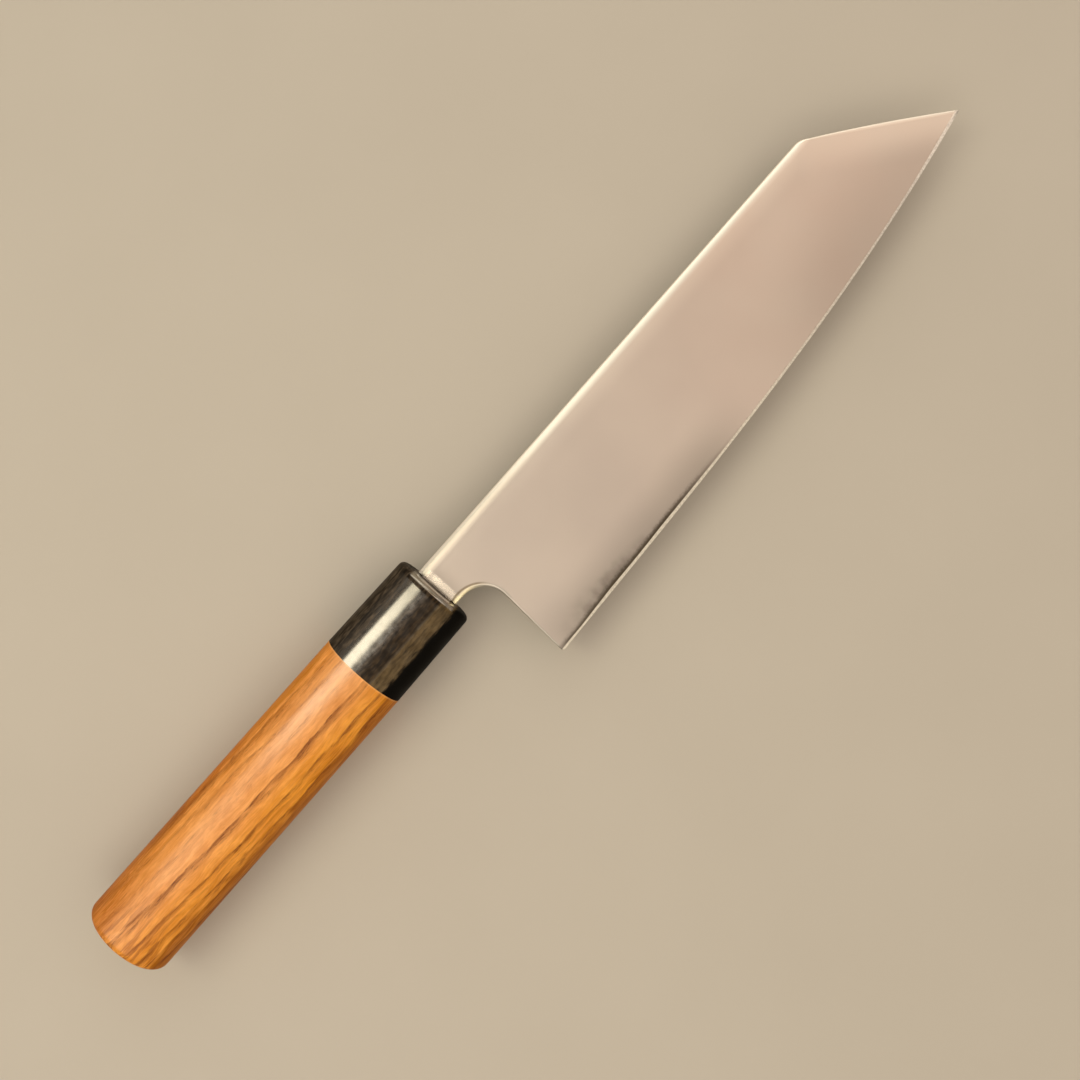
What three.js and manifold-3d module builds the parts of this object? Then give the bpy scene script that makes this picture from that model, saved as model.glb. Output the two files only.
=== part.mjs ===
// Bunka knife: a fixed-blade kitchen knife with a clipped tip, an oval wooden handle and a dark ferrule.
// Millimetres. The origin is the middle of the butt. +X runs along the handle's axis to the tip,
// +Y points from the cutting edge to the spine, and +Z is square to the knife's right-hand side.

import * as THREE from "three";
import { mergeVertices } from "three/addons/utils/BufferGeometryUtils.js";
import Module from "manifold-3d";

const wasm = await Module();
wasm.setup();

// Handle: two tapering oval lengths, flush where they meet
const WOOD_LENGTH = 91.7;
const FERRULE_LENGTH = 27.9;
const BUTT_WIDTH = 24; // spine side to edge side
const BUTT_THICKNESS = 20.2; // right side to left side
const JOINT_WIDTH = 23.4;
const JOINT_THICKNESS = 19.7;
const MOUTH_WIDTH = 22.5;
const MOUTH_THICKNESS = 18.8;
const BUTT_ROUNDING = 2.4;
const MOUTH_ROUNDING = 1.5;
const MOUTH_CROWN = 0.15; // swell of the ferrule's front face

// Blade outline, seen square to its side
const SPINE_HEIGHT = 6.2; // spine above the handle's axis at the neck
const SPINE_RISE = 0.4; // climb of the spine from the neck to the clip
const NECK_DEPTH = 6.4; // underside of the neck below the axis
const NECK_RUN = 2.9; // level underside before the choil starts to turn down
const CHOIL_RADIUS = 7.4;
const HEEL_LEAN = 0.9; // the heel's foot sits this much nearer the handle than its top
const BLADE_HEIGHT = 41; // spine to heel
const EDGE_LENGTH = 170.5; // heel to tip, along the axis
const EDGE_HEEL_RISE = 0.039; // slope of the edge where it leaves the heel
const EDGE_TIP_RISE = 0.211; // slope of the edge where it reaches the tip
const TIP_DROP = 25.2; // tip below the spine
const CLIP_LENGTH = 33.2; // tip back to the corner of the clip
const CLIP_BULGE = 0.45; // how far the clip swells beyond a straight line
const CLIP_CORNER = 1.5; // easing of the corner between clip and spine
const HEEL_CORNER = 0.8; // easing of the heel's point

// Blade grind: each face is one plane, thick at the neck's spine and thin behind the edge
const SPINE_THICKNESS = 2.5;
const HEEL_EDGE_THICKNESS = 0.54;
const TIP_EDGE_THICKNESS = 0.5;
const BEVEL_WIDTH = 1; // where it is widest, a little way from the heel
const BEVEL_AT_HEEL = 0.5;
const BEVEL_AT_MIDDLE = 0.6;
const BEVEL_AT_TIP = 0.9;
const BEVEL_TURNS = [0.115, 0.385, 0.85]; // shares of the edge where it is widest, and thin from and to

// Blade easing: how far in from the outline each rounded border reaches
const SPINE_EASE_AT_NECK = 3;
const SPINE_EASE_AT_CLIP = 1.6;
const CLIP_EASE = 0.6;
const SHOULDER_EASE = 0.4;
const NECK_EASE = 1.8;
const CHOIL_EASE = 0.6;
const HEEL_EASE = 0.25;

// Tang and the pieces hidden round it
const TANG_LENGTH = 85;
const TANG_ROOT_WIDTH = 9.5;
const TANG_END_WIDTH = 5;
const TANG_THICKNESS = 1.9;
const MOUTH_WALL = 8; // horn left in front of the dowel
const DOWEL_IN_WOOD = 25; // dowel's reach behind the ferrule
const DOWEL_WALL = 1.3; // dowel left beside its slot
const RESIN_WALL = 0.6;

// Clearance between pieces that fit together
const FIT = 0.3;

// Smoothness of the facets
const OVAL_POINTS = 48;
const ROUND_STEPS = 4;
const CROWN_STEPS = 4;
const EDGE_POINTS = 26;
const CHOIL_POINTS = 10;
const CLIP_POINTS = 6;
const CORNER_POINTS = 3;
const DOWEL_SIDES = 40;

// Stations along the axis that several pieces share
const mouthX = WOOD_LENGTH + FERRULE_LENGTH;
const shoulderX = mouthX + FIT;
const tangEndX = shoulderX - TANG_LENGTH;
const dowelFrontX = mouthX - MOUTH_WALL - FIT;
const dowelBackX = WOOD_LENGTH - DOWEL_IN_WOOD;
const slotGrowth = FIT + RESIN_WALL + FIT;
const overshoot = 2 * FIT;

function tangHalfWidth(x) {
  const along = (shoulderX - x) / TANG_LENGTH;
  return THREE.MathUtils.lerp(TANG_ROOT_WIDTH, TANG_END_WIDTH, along) / 2;
}

const dowelRadius = tangHalfWidth(dowelFrontX) + slotGrowth + DOWEL_WALL;

// Closed body through a stack of rings with equal point counts; flatten lays an end ring out in 2-D
function loft(rings, flatten) {
  const count = rings[0].length;
  const positions = rings.flat().flatMap((point) => point.toArray());
  const index = [];
  for (let level = 0; level < rings.length - 1; level++) {
    for (let i = 0; i < count; i++) {
      const next = (i + 1) % count;
      const [a, b] = [level * count + i, level * count + next];
      index.push(a, b, b + count, a, b + count, a + count);
    }
  }
  for (const [level, turn] of [[0, -1], [rings.length - 1, 1]]) {
    const flat = rings[level].map(flatten);
    for (const [a, b, c] of THREE.ShapeUtils.triangulateShape(flat, [])) {
      const forward = THREE.ShapeUtils.area([flat[a], flat[b], flat[c]]) * turn > 0;
      const corners = forward ? [a, b, c] : [a, c, b];
      index.push(...corners.map((corner) => level * count + corner));
    }
  }
  const geometry = new THREE.BufferGeometry();
  geometry.setAttribute("position", new THREE.Float32BufferAttribute(positions, 3));
  geometry.setIndex(index);
  return geometry;
}

const acrossAxis = (point) => new THREE.Vector2(point.y, point.z);

function toSolid(geometry) {
  const bare = geometry.clone();
  bare.deleteAttribute("normal");
  bare.deleteAttribute("uv");
  const merged = mergeVertices(bare);
  const mesh = new wasm.Mesh({
    numProp: 3,
    vertProperties: new Float32Array(merged.attributes.position.array),
    triVerts: new Uint32Array(merged.index.array),
  });
  return new wasm.Manifold(mesh);
}

function toGeometry(solid) {
  const mesh = solid.getMesh();
  const geometry = new THREE.BufferGeometry();
  geometry.setAttribute("position", new THREE.Float32BufferAttribute(mesh.vertProperties, 3));
  geometry.setIndex(new THREE.Uint32BufferAttribute(mesh.triVerts, 1));
  geometry.computeVertexNormals();
  return geometry;
}

// Handle lengths
function ovalRing(x, width, thickness) {
  const ring = [];
  for (let i = 0; i < OVAL_POINTS; i++) {
    const angle = (2 * Math.PI * i) / OVAL_POINTS;
    ring.push(new THREE.Vector3(x, (width / 2) * Math.cos(angle), (thickness / 2) * Math.sin(angle)));
  }
  return ring;
}

// A quarter round from a flat end to the full section, as [distance from the end, inset] pairs
function quarterRound(radius) {
  return Array.from({ length: ROUND_STEPS + 1 }, (_, k) => {
    const angle = ((Math.PI / 2) * k) / ROUND_STEPS;
    return [radius * (1 - Math.cos(angle)), radius * (1 - Math.sin(angle))];
  });
}

// A ring of an oval length that tapers from one end's [x, width, thickness] to the other's
function taperedRing(back, front, x, inset) {
  const along = (x - back[0]) / (front[0] - back[0]);
  const width = THREE.MathUtils.lerp(back[1], front[1], along);
  const thickness = THREE.MathUtils.lerp(back[2], front[2], along);
  return ovalRing(x, width - 2 * inset, thickness - 2 * inset);
}

// The wood: a flat butt with a rounded rim, and a plain end that the ferrule meets
function handleLength() {
  const back = [0, BUTT_WIDTH, BUTT_THICKNESS];
  const front = [WOOD_LENGTH, JOINT_WIDTH, JOINT_THICKNESS];
  const butt = quarterRound(BUTT_ROUNDING).map(([run, inset]) => taperedRing(back, front, run, inset));
  return loft([...butt, taperedRing(back, front, WOOD_LENGTH, 0)], acrossAxis);
}

// The ferrule: a plain back end, and a front with a rounded rim and a slightly crowned face
function ferruleLength() {
  const back = [WOOD_LENGTH, JOINT_WIDTH, JOINT_THICKNESS];
  const front = [mouthX, MOUTH_WIDTH, MOUTH_THICKNESS];
  const rimX = mouthX - MOUTH_CROWN;
  const rim = quarterRound(MOUTH_ROUNDING)
    .map(([run, inset]) => taperedRing(back, front, rimX - run, inset))
    .reverse();
  const crown = [];
  for (let step = 1; step < CROWN_STEPS; step++) {
    const reach = 1 - step / CROWN_STEPS;
    const [width, thickness] = [MOUTH_WIDTH, MOUTH_THICKNESS].map((size) => size - 2 * MOUTH_ROUNDING);
    crown.push(ovalRing(mouthX - MOUTH_CROWN * reach ** 2, width * reach, thickness * reach));
  }
  return loft([taperedRing(back, front, WOOD_LENGTH, 0), ...rim, ...crown], acrossAxis);
}

function cylinderAlongX(radius, fromX, toX) {
  const cylinder = new THREE.CylinderGeometry(radius, radius, toX - fromX, DOWEL_SIDES);
  cylinder.rotateZ(-Math.PI / 2);
  cylinder.translate((fromX + toX) / 2, 0, 0);
  return cylinder;
}

// The tapering flat of the tang between two stations, grown by an even amount all round
function tangPrism(growth, fromX, toX) {
  const back = tangHalfWidth(fromX) + growth;
  const front = tangHalfWidth(toX) + growth;
  const plan = new THREE.Shape();
  plan.moveTo(fromX, -back);
  plan.lineTo(toX, -front);
  plan.lineTo(toX, front);
  plan.lineTo(fromX, back);
  plan.closePath();
  const thickness = TANG_THICKNESS + 2 * growth;
  const prism = new THREE.ExtrudeGeometry(plan, { depth: thickness, bevelEnabled: false });
  prism.translate(0, 0, -thickness / 2);
  return prism;
}

// Blade outline, anticlockwise from the foot of the shoulder. Each stretch has the curve that it follows,
// the width of its border at both ends, and whether that border is rounded over or ground as a bevel.
function bladeOutline() {
  const point = (x, y) => new THREE.Vector2(x, y);
  const choilX = mouthX + NECK_RUN;
  const choilEnd = point(choilX + CHOIL_RADIUS, -NECK_DEPTH - CHOIL_RADIUS);
  const heel = point(choilEnd.x - HEEL_LEAN, SPINE_HEIGHT - BLADE_HEIGHT);
  const tip = point(heel.x + EDGE_LENGTH, SPINE_HEIGHT - TIP_DROP);
  const clip = point(tip.x - CLIP_LENGTH, SPINE_HEIGHT + SPINE_RISE);
  const third = EDGE_LENGTH / 3;
  const heelHandle = point(heel.x + third, heel.y + third * EDGE_HEEL_RISE);
  const tipHandle = point(tip.x - third, tip.y - third * EDGE_TIP_RISE);
  const edge = new THREE.CubicBezierCurve(heel, heelHandle, tipHandle, tip);
  const heelTop = heel.clone().lerp(choilEnd, HEEL_CORNER / heel.distanceTo(choilEnd));
  const edgeStart = HEEL_CORNER / EDGE_LENGTH;
  const edgePoints = [];
  for (let i = 0; i <= EDGE_POINTS; i++) {
    edgePoints.push(edge.getPoint(THREE.MathUtils.lerp(edgeStart, 1, i / EDGE_POINTS)));
  }
  const shoulderFoot = point(shoulderX, -NECK_DEPTH);
  const shoulderTop = point(shoulderX, SPINE_HEIGHT);
  const clipEnd = clip.clone().lerp(tip, CLIP_CORNER / clip.distanceTo(tip));
  const spineStart = clip.clone().lerp(shoulderTop, CLIP_CORNER / clip.distanceTo(shoulderTop));
  const clipChord = clipEnd.clone().sub(tip);
  const clipNormal = point(clipChord.y, -clipChord.x).normalize();
  const clipHandle = tip.clone().lerp(clipEnd, 0.5).addScaledVector(clipNormal, 2 * CLIP_BULGE);
  const quarter = Math.PI / 2;
  const choil = new THREE.EllipseCurve(
    choilX, choilEnd.y, CHOIL_RADIUS, CHOIL_RADIUS, quarter, 0, true);
  const heelCorner = new THREE.QuadraticBezierCurve(heelTop, heel, edgePoints[0]);
  const clipCurve = new THREE.QuadraticBezierCurve(tip, clipHandle, clipEnd);
  const clipCorner = new THREE.QuadraticBezierCurve(clipEnd, clip, spineStart);
  const [widest, thin, thinEnd] = BEVEL_TURNS.map((share) => Math.round(share * EDGE_POINTS));
  const stretches = [
    { points: [shoulderFoot, point(choilX, -NECK_DEPTH)], ease: [NECK_EASE, NECK_EASE] },
    { points: choil.getPoints(CHOIL_POINTS), ease: [NECK_EASE, CHOIL_EASE] },
    { points: [choilEnd, heelTop], ease: [CHOIL_EASE, HEEL_EASE] },
    { points: heelCorner.getPoints(CORNER_POINTS), ease: [HEEL_EASE, BEVEL_AT_HEEL], bevel: true },
    { points: edgePoints.slice(0, widest + 1), ease: [BEVEL_AT_HEEL, BEVEL_WIDTH], bevel: true },
    { points: edgePoints.slice(widest, thin + 1), ease: [BEVEL_WIDTH, BEVEL_AT_MIDDLE], bevel: true },
    { points: edgePoints.slice(thin, thinEnd + 1), ease: [BEVEL_AT_MIDDLE, BEVEL_AT_MIDDLE], bevel: true },
    { points: edgePoints.slice(thinEnd), ease: [BEVEL_AT_MIDDLE, BEVEL_AT_TIP], bevel: true },
    { points: clipCurve.getPoints(CLIP_POINTS), ease: [CLIP_EASE, CLIP_EASE] },
    { points: clipCorner.getPoints(CORNER_POINTS), ease: [CLIP_EASE, SPINE_EASE_AT_CLIP] },
    { points: [spineStart, shoulderTop], ease: [SPINE_EASE_AT_CLIP, SPINE_EASE_AT_NECK] },
    { points: [shoulderTop, shoulderFoot], ease: [SHOULDER_EASE, SHOULDER_EASE] },
  ];
  return { stretches, heel, tip };
}

// One entry for each side of the outline's polygon, from its start corner to its end corner
function outlineSides(stretches) {
  return stretches.flatMap(({ points, ease, bevel = false }) => {
    const last = points.length - 1;
    return points.slice(0, -1).map((start, i) => {
      const end = points[i + 1];
      const direction = end.clone().sub(start).normalize();
      const inward = new THREE.Vector2(-direction.y, direction.x);
      const easeAt = (k) => THREE.MathUtils.lerp(ease[0], ease[1], k / last);
      return { start, inward, bevel, easeStart: easeAt(i), easeEnd: easeAt(i + 1) };
    });
  });
}

// The point whose distances inside the two sides that meet at a corner are those sides' own border widths
function insetCorner(before, after) {
  const cross = before.inward.cross(after.inward);
  const corner = after.start.clone();
  if (Math.abs(cross) < 1e-6) {
    return corner.addScaledVector(after.inward, after.easeStart);
  }
  const [d1, d2] = [before.easeEnd, after.easeStart];
  const x = (d1 * after.inward.y - d2 * before.inward.y) / cross;
  const y = (d2 * before.inward.x - d1 * after.inward.x) / cross;
  return corner.add(new THREE.Vector2(x, y));
}

// Ground blade: the outline lies in the middle plane, and on each side its border runs in over a round or a
// bevel to the flat face
function groundBlade() {
  const { stretches, heel, tip } = bladeOutline();
  const face = new THREE.Plane().setFromCoplanarPoints(
    new THREE.Vector3(shoulderX, SPINE_HEIGHT, SPINE_THICKNESS / 2),
    new THREE.Vector3(heel.x, heel.y + BEVEL_WIDTH, HEEL_EDGE_THICKNESS / 2),
    new THREE.Vector3(tip.x - BEVEL_WIDTH, tip.y, TIP_EDGE_THICKNESS / 2),
  );
  const faceHeight = ({ x, y }) => -(face.normal.x * x + face.normal.y * y + face.constant) / face.normal.z;
  const sides = outlineSides(stretches);
  const corners = sides.map((side, i) => {
    const before = sides[(i + sides.length - 1) % sides.length];
    const inner = insetCorner(before, side);
    return { outer: side.start, inner, height: faceHeight(inner), bevel: side.bevel };
  });
  const ringAt = (step, turn) => corners.map(({ outer, inner, height, bevel }) => {
    const angle = ((Math.PI / 2) * step) / ROUND_STEPS;
    const inset = bevel ? step / ROUND_STEPS : 1 - Math.cos(angle);
    const rise = bevel ? step / ROUND_STEPS : Math.sin(angle);
    const plan = outer.clone().lerp(inner, inset);
    return new THREE.Vector3(plan.x, plan.y, turn * rise * height);
  });
  const rings = [];
  for (let step = -ROUND_STEPS; step <= ROUND_STEPS; step++) {
    rings.push(ringAt(Math.abs(step), Math.sign(step)));
  }
  return loft(rings, (point) => new THREE.Vector2(point.x, point.y));
}

function bladeGeometry() {
  const rootX = shoulderX + 2 * SHOULDER_EASE;
  const tang = toSolid(tangPrism(0, tangEndX, rootX));
  return toGeometry(toSolid(groundBlade()).add(tang));
}

function ferruleGeometry() {
  const bore = cylinderAlongX(dowelRadius + FIT, WOOD_LENGTH - overshoot, dowelFrontX + FIT);
  const slot = tangPrism(FIT, dowelFrontX, mouthX + overshoot);
  return toGeometry(toSolid(ferruleLength()).subtract(toSolid(bore)).subtract(toSolid(slot)));
}

function handleGeometry() {
  const bore = cylinderAlongX(dowelRadius + FIT, dowelBackX - FIT, WOOD_LENGTH + overshoot);
  const slot = tangPrism(slotGrowth, tangEndX - slotGrowth, WOOD_LENGTH);
  return toGeometry(toSolid(handleLength()).subtract(toSolid(bore)).subtract(toSolid(slot)));
}

function dowelGeometry() {
  const dowel = toSolid(cylinderAlongX(dowelRadius, dowelBackX, dowelFrontX));
  const slot = toSolid(tangPrism(slotGrowth, dowelBackX - overshoot, dowelFrontX + overshoot));
  return toGeometry(dowel.subtract(slot));
}

function resinGeometry() {
  const outside = toSolid(tangPrism(FIT + RESIN_WALL, tangEndX - FIT - RESIN_WALL, dowelFrontX));
  const inside = toSolid(tangPrism(FIT, tangEndX - FIT, dowelFrontX + overshoot));
  return toGeometry(outside.subtract(inside));
}

function piece(name, geometry, color, roughness, metalness = 0) {
  const mesh = new THREE.Mesh(geometry, new THREE.MeshStandardMaterial({ color, roughness, metalness }));
  mesh.name = name;
  return mesh;
}

const knife = new THREE.Group();
knife.add(
  piece("blade", bladeGeometry(), 0xc8b9a8, 0.35, 1),
  piece("ferrule", ferruleGeometry(), 0x1b1511, 0.2),
  piece("handle_body", handleGeometry(), 0xd88f4c, 0.45),
  piece("joining_dowel", dowelGeometry(), 0xd9c196, 0.7),
  piece("tang_resin", resinGeometry(), 0xcfae6a, 0.4),
);

export default knife;
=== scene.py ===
# %% [markdown]
# A bunka knife lies flat, seen from straight above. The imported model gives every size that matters, so
# the lesson starts by loading it. Three of its pieces show: the blade, the dark ferrule and the wooden
# handle. Each is modelled again here with a finer surface, in the same place and in metres.

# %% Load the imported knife
import math

import bmesh
import bpy
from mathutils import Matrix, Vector


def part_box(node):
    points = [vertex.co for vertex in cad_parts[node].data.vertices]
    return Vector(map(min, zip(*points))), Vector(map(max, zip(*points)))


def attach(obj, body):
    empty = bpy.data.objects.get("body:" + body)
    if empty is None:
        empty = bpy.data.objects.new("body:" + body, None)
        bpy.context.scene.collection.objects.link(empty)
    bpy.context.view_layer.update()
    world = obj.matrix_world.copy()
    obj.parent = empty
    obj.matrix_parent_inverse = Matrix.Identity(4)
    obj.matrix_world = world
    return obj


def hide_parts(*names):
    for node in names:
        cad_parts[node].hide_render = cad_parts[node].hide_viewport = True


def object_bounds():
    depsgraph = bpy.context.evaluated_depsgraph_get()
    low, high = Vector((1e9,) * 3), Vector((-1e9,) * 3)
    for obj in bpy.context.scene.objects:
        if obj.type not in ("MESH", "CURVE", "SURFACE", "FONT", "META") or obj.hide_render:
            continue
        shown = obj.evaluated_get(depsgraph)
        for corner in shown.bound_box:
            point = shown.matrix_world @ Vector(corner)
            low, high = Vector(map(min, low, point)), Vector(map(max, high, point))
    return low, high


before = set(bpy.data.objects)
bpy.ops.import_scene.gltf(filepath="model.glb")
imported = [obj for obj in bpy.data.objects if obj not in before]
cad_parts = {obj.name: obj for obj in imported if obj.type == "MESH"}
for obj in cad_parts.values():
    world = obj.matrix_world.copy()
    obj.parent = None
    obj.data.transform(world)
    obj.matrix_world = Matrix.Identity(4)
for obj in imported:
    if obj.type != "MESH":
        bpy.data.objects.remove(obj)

MM = 0.001
cad_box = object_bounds()
wood_low, wood_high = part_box("handle_body")
ferrule_low, ferrule_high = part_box("ferrule")
blade_low, blade_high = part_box("blade")
print("knife length in mm:", round((cad_box[1].x - cad_box[0].x) / MM, 1))

# %% [markdown]
# The camera hangs close above the knife and looks straight down, so the handle's upper side is shifted
# outwards a little. How far it is shifted, and how thick the handle is, give the camera's height. The knife
# lies turned, with its tip up and to the right, and it is the camera that is turned, because the knife stays
# in its frame.

# %% Camera straight above the knife
CAMERA_HEIGHT = 282 * MM
FRAME_WIDTH = 275.65 * MM
CAMERA_OVER = Vector((146.3 * MM, -11.6 * MM, 0))
KNIFE_TURN = math.radians(48.5)

bpy.ops.object.select_all(action="DESELECT")
bpy.ops.object.camera_add(
    location=CAMERA_OVER + Vector((0, 0, CAMERA_HEIGHT)), rotation=(0, 0, -KNIFE_TURN))
camera = bpy.context.object
camera.data.lens = camera.data.sensor_width * CAMERA_HEIGHT / FRAME_WIDTH
bpy.context.scene.camera = camera
bpy.context.scene.view_settings.view_transform = "Standard"
print("lens in mm:", round(camera.data.lens, 1))

# %% [markdown]
# A finish is a set of shader nodes that are wired together. Two helpers add a node and fill its inputs with
# numbers or with the outputs of other nodes, because doing that socket by socket would bury the finish in
# wiring. Two more start a material, and give it the piece's own coordinates.

# %% Helpers for wiring nodes
def fill(tree, node, inputs):
    for key, value in inputs.items():
        if isinstance(value, bpy.types.NodeSocket):
            tree.links.new(value, node.inputs[key])
        else:
            node.inputs[key].default_value = value


def add_node(tree, kind, inputs=None, **settings):
    made = tree.nodes.new("ShaderNode" + kind)
    for name, value in settings.items():
        setattr(made, name, value)
    fill(tree, made, inputs or {})
    return made


def new_material(name):
    material = bpy.data.materials.new(name)
    material.use_nodes = True
    return material, material.node_tree, material.node_tree.nodes["Principled BSDF"]


def object_millimetres(tree):
    """The piece's own coordinates in millimetres, so that a pattern's size is written as a real size."""
    place = add_node(tree, "TexCoord").outputs["Object"]
    return add_node(tree, "VectorMath", {0: place, 3: 1 / MM}, operation="SCALE").outputs[0]


print("node helpers ready")

# %% [markdown]
# A mask is a value from 0 to 1 that says where on a piece something is. The next helpers make masks by fading
# between two places, put masks together, and lay tones over each other by them. Every finish below is made
# with these few, so that a finish reads as a list of what lies where.

# %% Helpers for masks and tones
def sum_of(tree, operation, first, second=0.0, third=0.0):
    made = add_node(tree, "Math", {0: first, 1: second, 2: third}, operation=operation)
    return made.outputs[0]


def greatest(tree, *masks):
    made = masks[0]
    for mask in masks[1:]:
        made = sum_of(tree, "MAXIMUM", made, mask)
    return made


def product(tree, *masks):
    made = masks[0]
    for mask in masks[1:]:
        made = sum_of(tree, "MULTIPLY", made, mask)
    return made


def fade(tree, value, start, end):
    """0 at start and 1 at end, eased between them."""
    inputs = {"Value": value, "From Min": start, "From Max": end}
    return add_node(tree, "MapRange", inputs, interpolation_type="SMOOTHSTEP").outputs["Result"]


def span(tree, value, low, high):
    """A mask of 0 to 1 spread evenly over a range of values from low to high."""
    return add_node(tree, "MapRange", {"Value": value, "To Min": low, "To Max": high}).outputs["Result"]


def window(tree, value, start, rise, fall, end):
    """1 between rise and fall, eased down to 0 at start and at end."""
    return product(tree, fade(tree, value, start, rise), fade(tree, value, end, fall))


def stirred(tree, value, mask, amount):
    """The value pushed up and down by a mask, by the amount from end to end."""
    return sum_of(tree, "MULTIPLY_ADD", sum_of(tree, "SUBTRACT", mask, 0.5), amount, value)


def tint(tree, mask, first, second):
    made = add_node(tree, "Mix", {0: mask, 6: first, 7: second}, data_type="RGBA")
    return made.outputs[2]


def stain(tree, ground, mask, strength, tone):
    """The ground with a tone laid over it, as strong as the mask times the strength."""
    return tint(tree, product(tree, mask, strength), ground, tone)


def noise(tree, vector, scale=1.0, detail=2.0, roughness=0.5):
    inputs = {"Vector": vector, "Scale": scale, "Detail": detail, "Roughness": roughness}
    return add_node(tree, "TexNoise", inputs).outputs["Fac"]


def colour(red, green, blue):
    return (red, green, blue, 1.0)


print("mask helpers ready")

# %% [markdown]
# The floor is a plain pale sheet under the handle, the knife's lowest point. A sheet of card is never quite
# even, so a wide soft mottling keeps it from looking like a flat fill. The lamps stand close and leave the
# far floor dark. So from well outside the picture on, the floor shows a pale tone of its own, to the eye and
# in reflections.

# %% Pale floor
FLOOR_SIZE = 24.0
FLOOR_MOTTLE = 60.0
FLOOR_LIT_TO, FLOOR_PALE_FROM = 200.0, 1000.0
CARD = (colour(0.51, 0.485, 0.445), colour(0.55, 0.525, 0.485))
CARD_ROUGHNESS = 0.9
PALE = colour(0.60, 0.52, 0.415)
UNLIT = colour(0, 0, 0)


def seen_rays(tree):
    """1 for what the eye or a reflection sees, and 0 for light on its way to a matt surface."""
    rays = add_node(tree, "LightPath").outputs
    return greatest(tree, rays["Is Camera Ray"], rays["Is Glossy Ray"], rays["Is Transmission Ray"])


def floor_card():
    material, tree, shader = new_material("pale_card")
    place = object_millimetres(tree)
    mottle = noise(tree, place, scale=1 / FLOOR_MOTTLE, detail=3.0)
    away = add_node(tree, "VectorMath", {0: place}, operation="LENGTH").outputs["Value"]
    far = product(tree, fade(tree, away, FLOOR_LIT_TO, FLOOR_PALE_FROM), seen_rays(tree))
    fill(tree, shader, {
        "Base Color": tint(tree, mottle, *CARD), "Roughness": CARD_ROUGHNESS, "Specular IOR Level": 0.0,
        "Emission Color": tint(tree, far, UNLIT, PALE), "Emission Strength": 1.0})
    return material


bpy.ops.object.select_all(action="DESELECT")
bpy.ops.mesh.primitive_plane_add(size=FLOOR_SIZE, location=(CAMERA_OVER.x, CAMERA_OVER.y, cad_box[0].z))
floor = bpy.context.object
floor.name = "floor"
floor.data.materials.append(floor_card())
print("floor at mm:", round(cad_box[0].z / MM, 2))

# %% [markdown]
# Polished horn shows the lamps as bands, and satin steel shows them as one wide glow. So the light comes
# from soft boxes, and each has its task. Over the handle, a bright one on the spine's side makes the band on
# the ferrule and the shadows, a wider one beside it softens the band's inner border, and a third fills in
# from the butt. Over the blade, two long dim ones light the eased spine, and two broad ones light the face,
# the far one rosier. On the edge's side a yellowish one lights the bevel. Four small ones catch the clip, the
# heel, the bevel at the tip, and the choil. Each stands at a compass turn from the spine's side and at a lean
# from straight above, and its power follows from how bright it looks.

# %% Soft boxes
LIGHT_DISTANCE = 600 * MM
WARM = (1.0, 0.85, 0.70)
ROSY = (1.0, 0.70, 0.52)
CREAM = (1.0, 0.90, 0.72)
AMBER = (1.0, 0.86, 0.64)
STRAW = (1.0, 0.88, 0.60)


def soft_box(name, over, lean, spread, length, brightness, turn=0, tone=WARM):
    """Lamp aimed at a station along the knife, which covers an angle of twice the spread round its lean."""
    tilt, compass = math.radians(lean), math.radians(turn)
    way = Vector((-math.sin(compass) * math.sin(tilt), math.cos(compass) * math.sin(tilt), math.cos(tilt)))
    bpy.ops.object.select_all(action="DESELECT")
    bpy.ops.object.light_add(
        type="AREA", location=Vector((over, 0, 0)) + way * LIGHT_DISTANCE, rotation=(-tilt, 0, compass))
    lamp = bpy.context.object
    lamp.name = name
    lamp.data.shape = "RECTANGLE"
    lamp.data.size = length
    lamp.data.size_y = 2 * LIGHT_DISTANCE * math.tan(math.radians(spread))
    lamp.data.energy = brightness * math.pi * lamp.data.size * lamp.data.size_y
    lamp.data.color = tone


soft_box("handle_key", over=0, lean=34.5, spread=12.5, length=174 * MM, brightness=3.0, tone=STRAW)
soft_box("handle_key_fade", over=-150 * MM, lean=29, spread=19, length=420 * MM, brightness=2.1, tone=CREAM)
soft_box("handle_fill", over=-360 * MM, lean=-18, spread=22, length=420 * MM, brightness=1.65)
soft_box("spine_upper", over=560 * MM, lean=26, spread=11, length=860 * MM, brightness=0.8, tone=CREAM)
soft_box("spine_lower", over=560 * MM, lean=58, spread=21, length=860 * MM, brightness=1.1, tone=CREAM)
soft_box("blade_panel", over=155 * MM, lean=-5, spread=18, length=350 * MM, brightness=0.7)
soft_box("blade_panel_far", over=590 * MM, lean=-5, spread=18, length=520 * MM, brightness=0.82, tone=ROSY)
soft_box("edge_panel", over=180 * MM, lean=-50, spread=24, length=600 * MM, brightness=1.1, tone=AMBER)
soft_box("clip_panel", over=283 * MM, lean=62, spread=17, length=360 * MM, brightness=1.0, turn=-62)
soft_box("heel_panel", over=129 * MM, lean=48, spread=16, length=340 * MM, brightness=1.2, turn=90)
soft_box("tip_panel", over=290 * MM, lean=44, spread=14, length=300 * MM, brightness=1.5, turn=-125)
soft_box(
    "choil_panel", over=125 * MM, lean=46, spread=13, length=220 * MM, brightness=1.0, turn=135, tone=AMBER)

# %% [markdown]
# Round the lamps there is only dim light, so that shadows stay soft but clear. Low down the world shows the
# floor's pale tone, to the eye and in reflections, because polished horn and steel would otherwise mirror a
# dark room.

# %% Dim round light
DIM = colour(0.070, 0.065, 0.058)
PALE_WORLD_FROM, PALE_WORLD_TO = 0.3, 0.55


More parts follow.
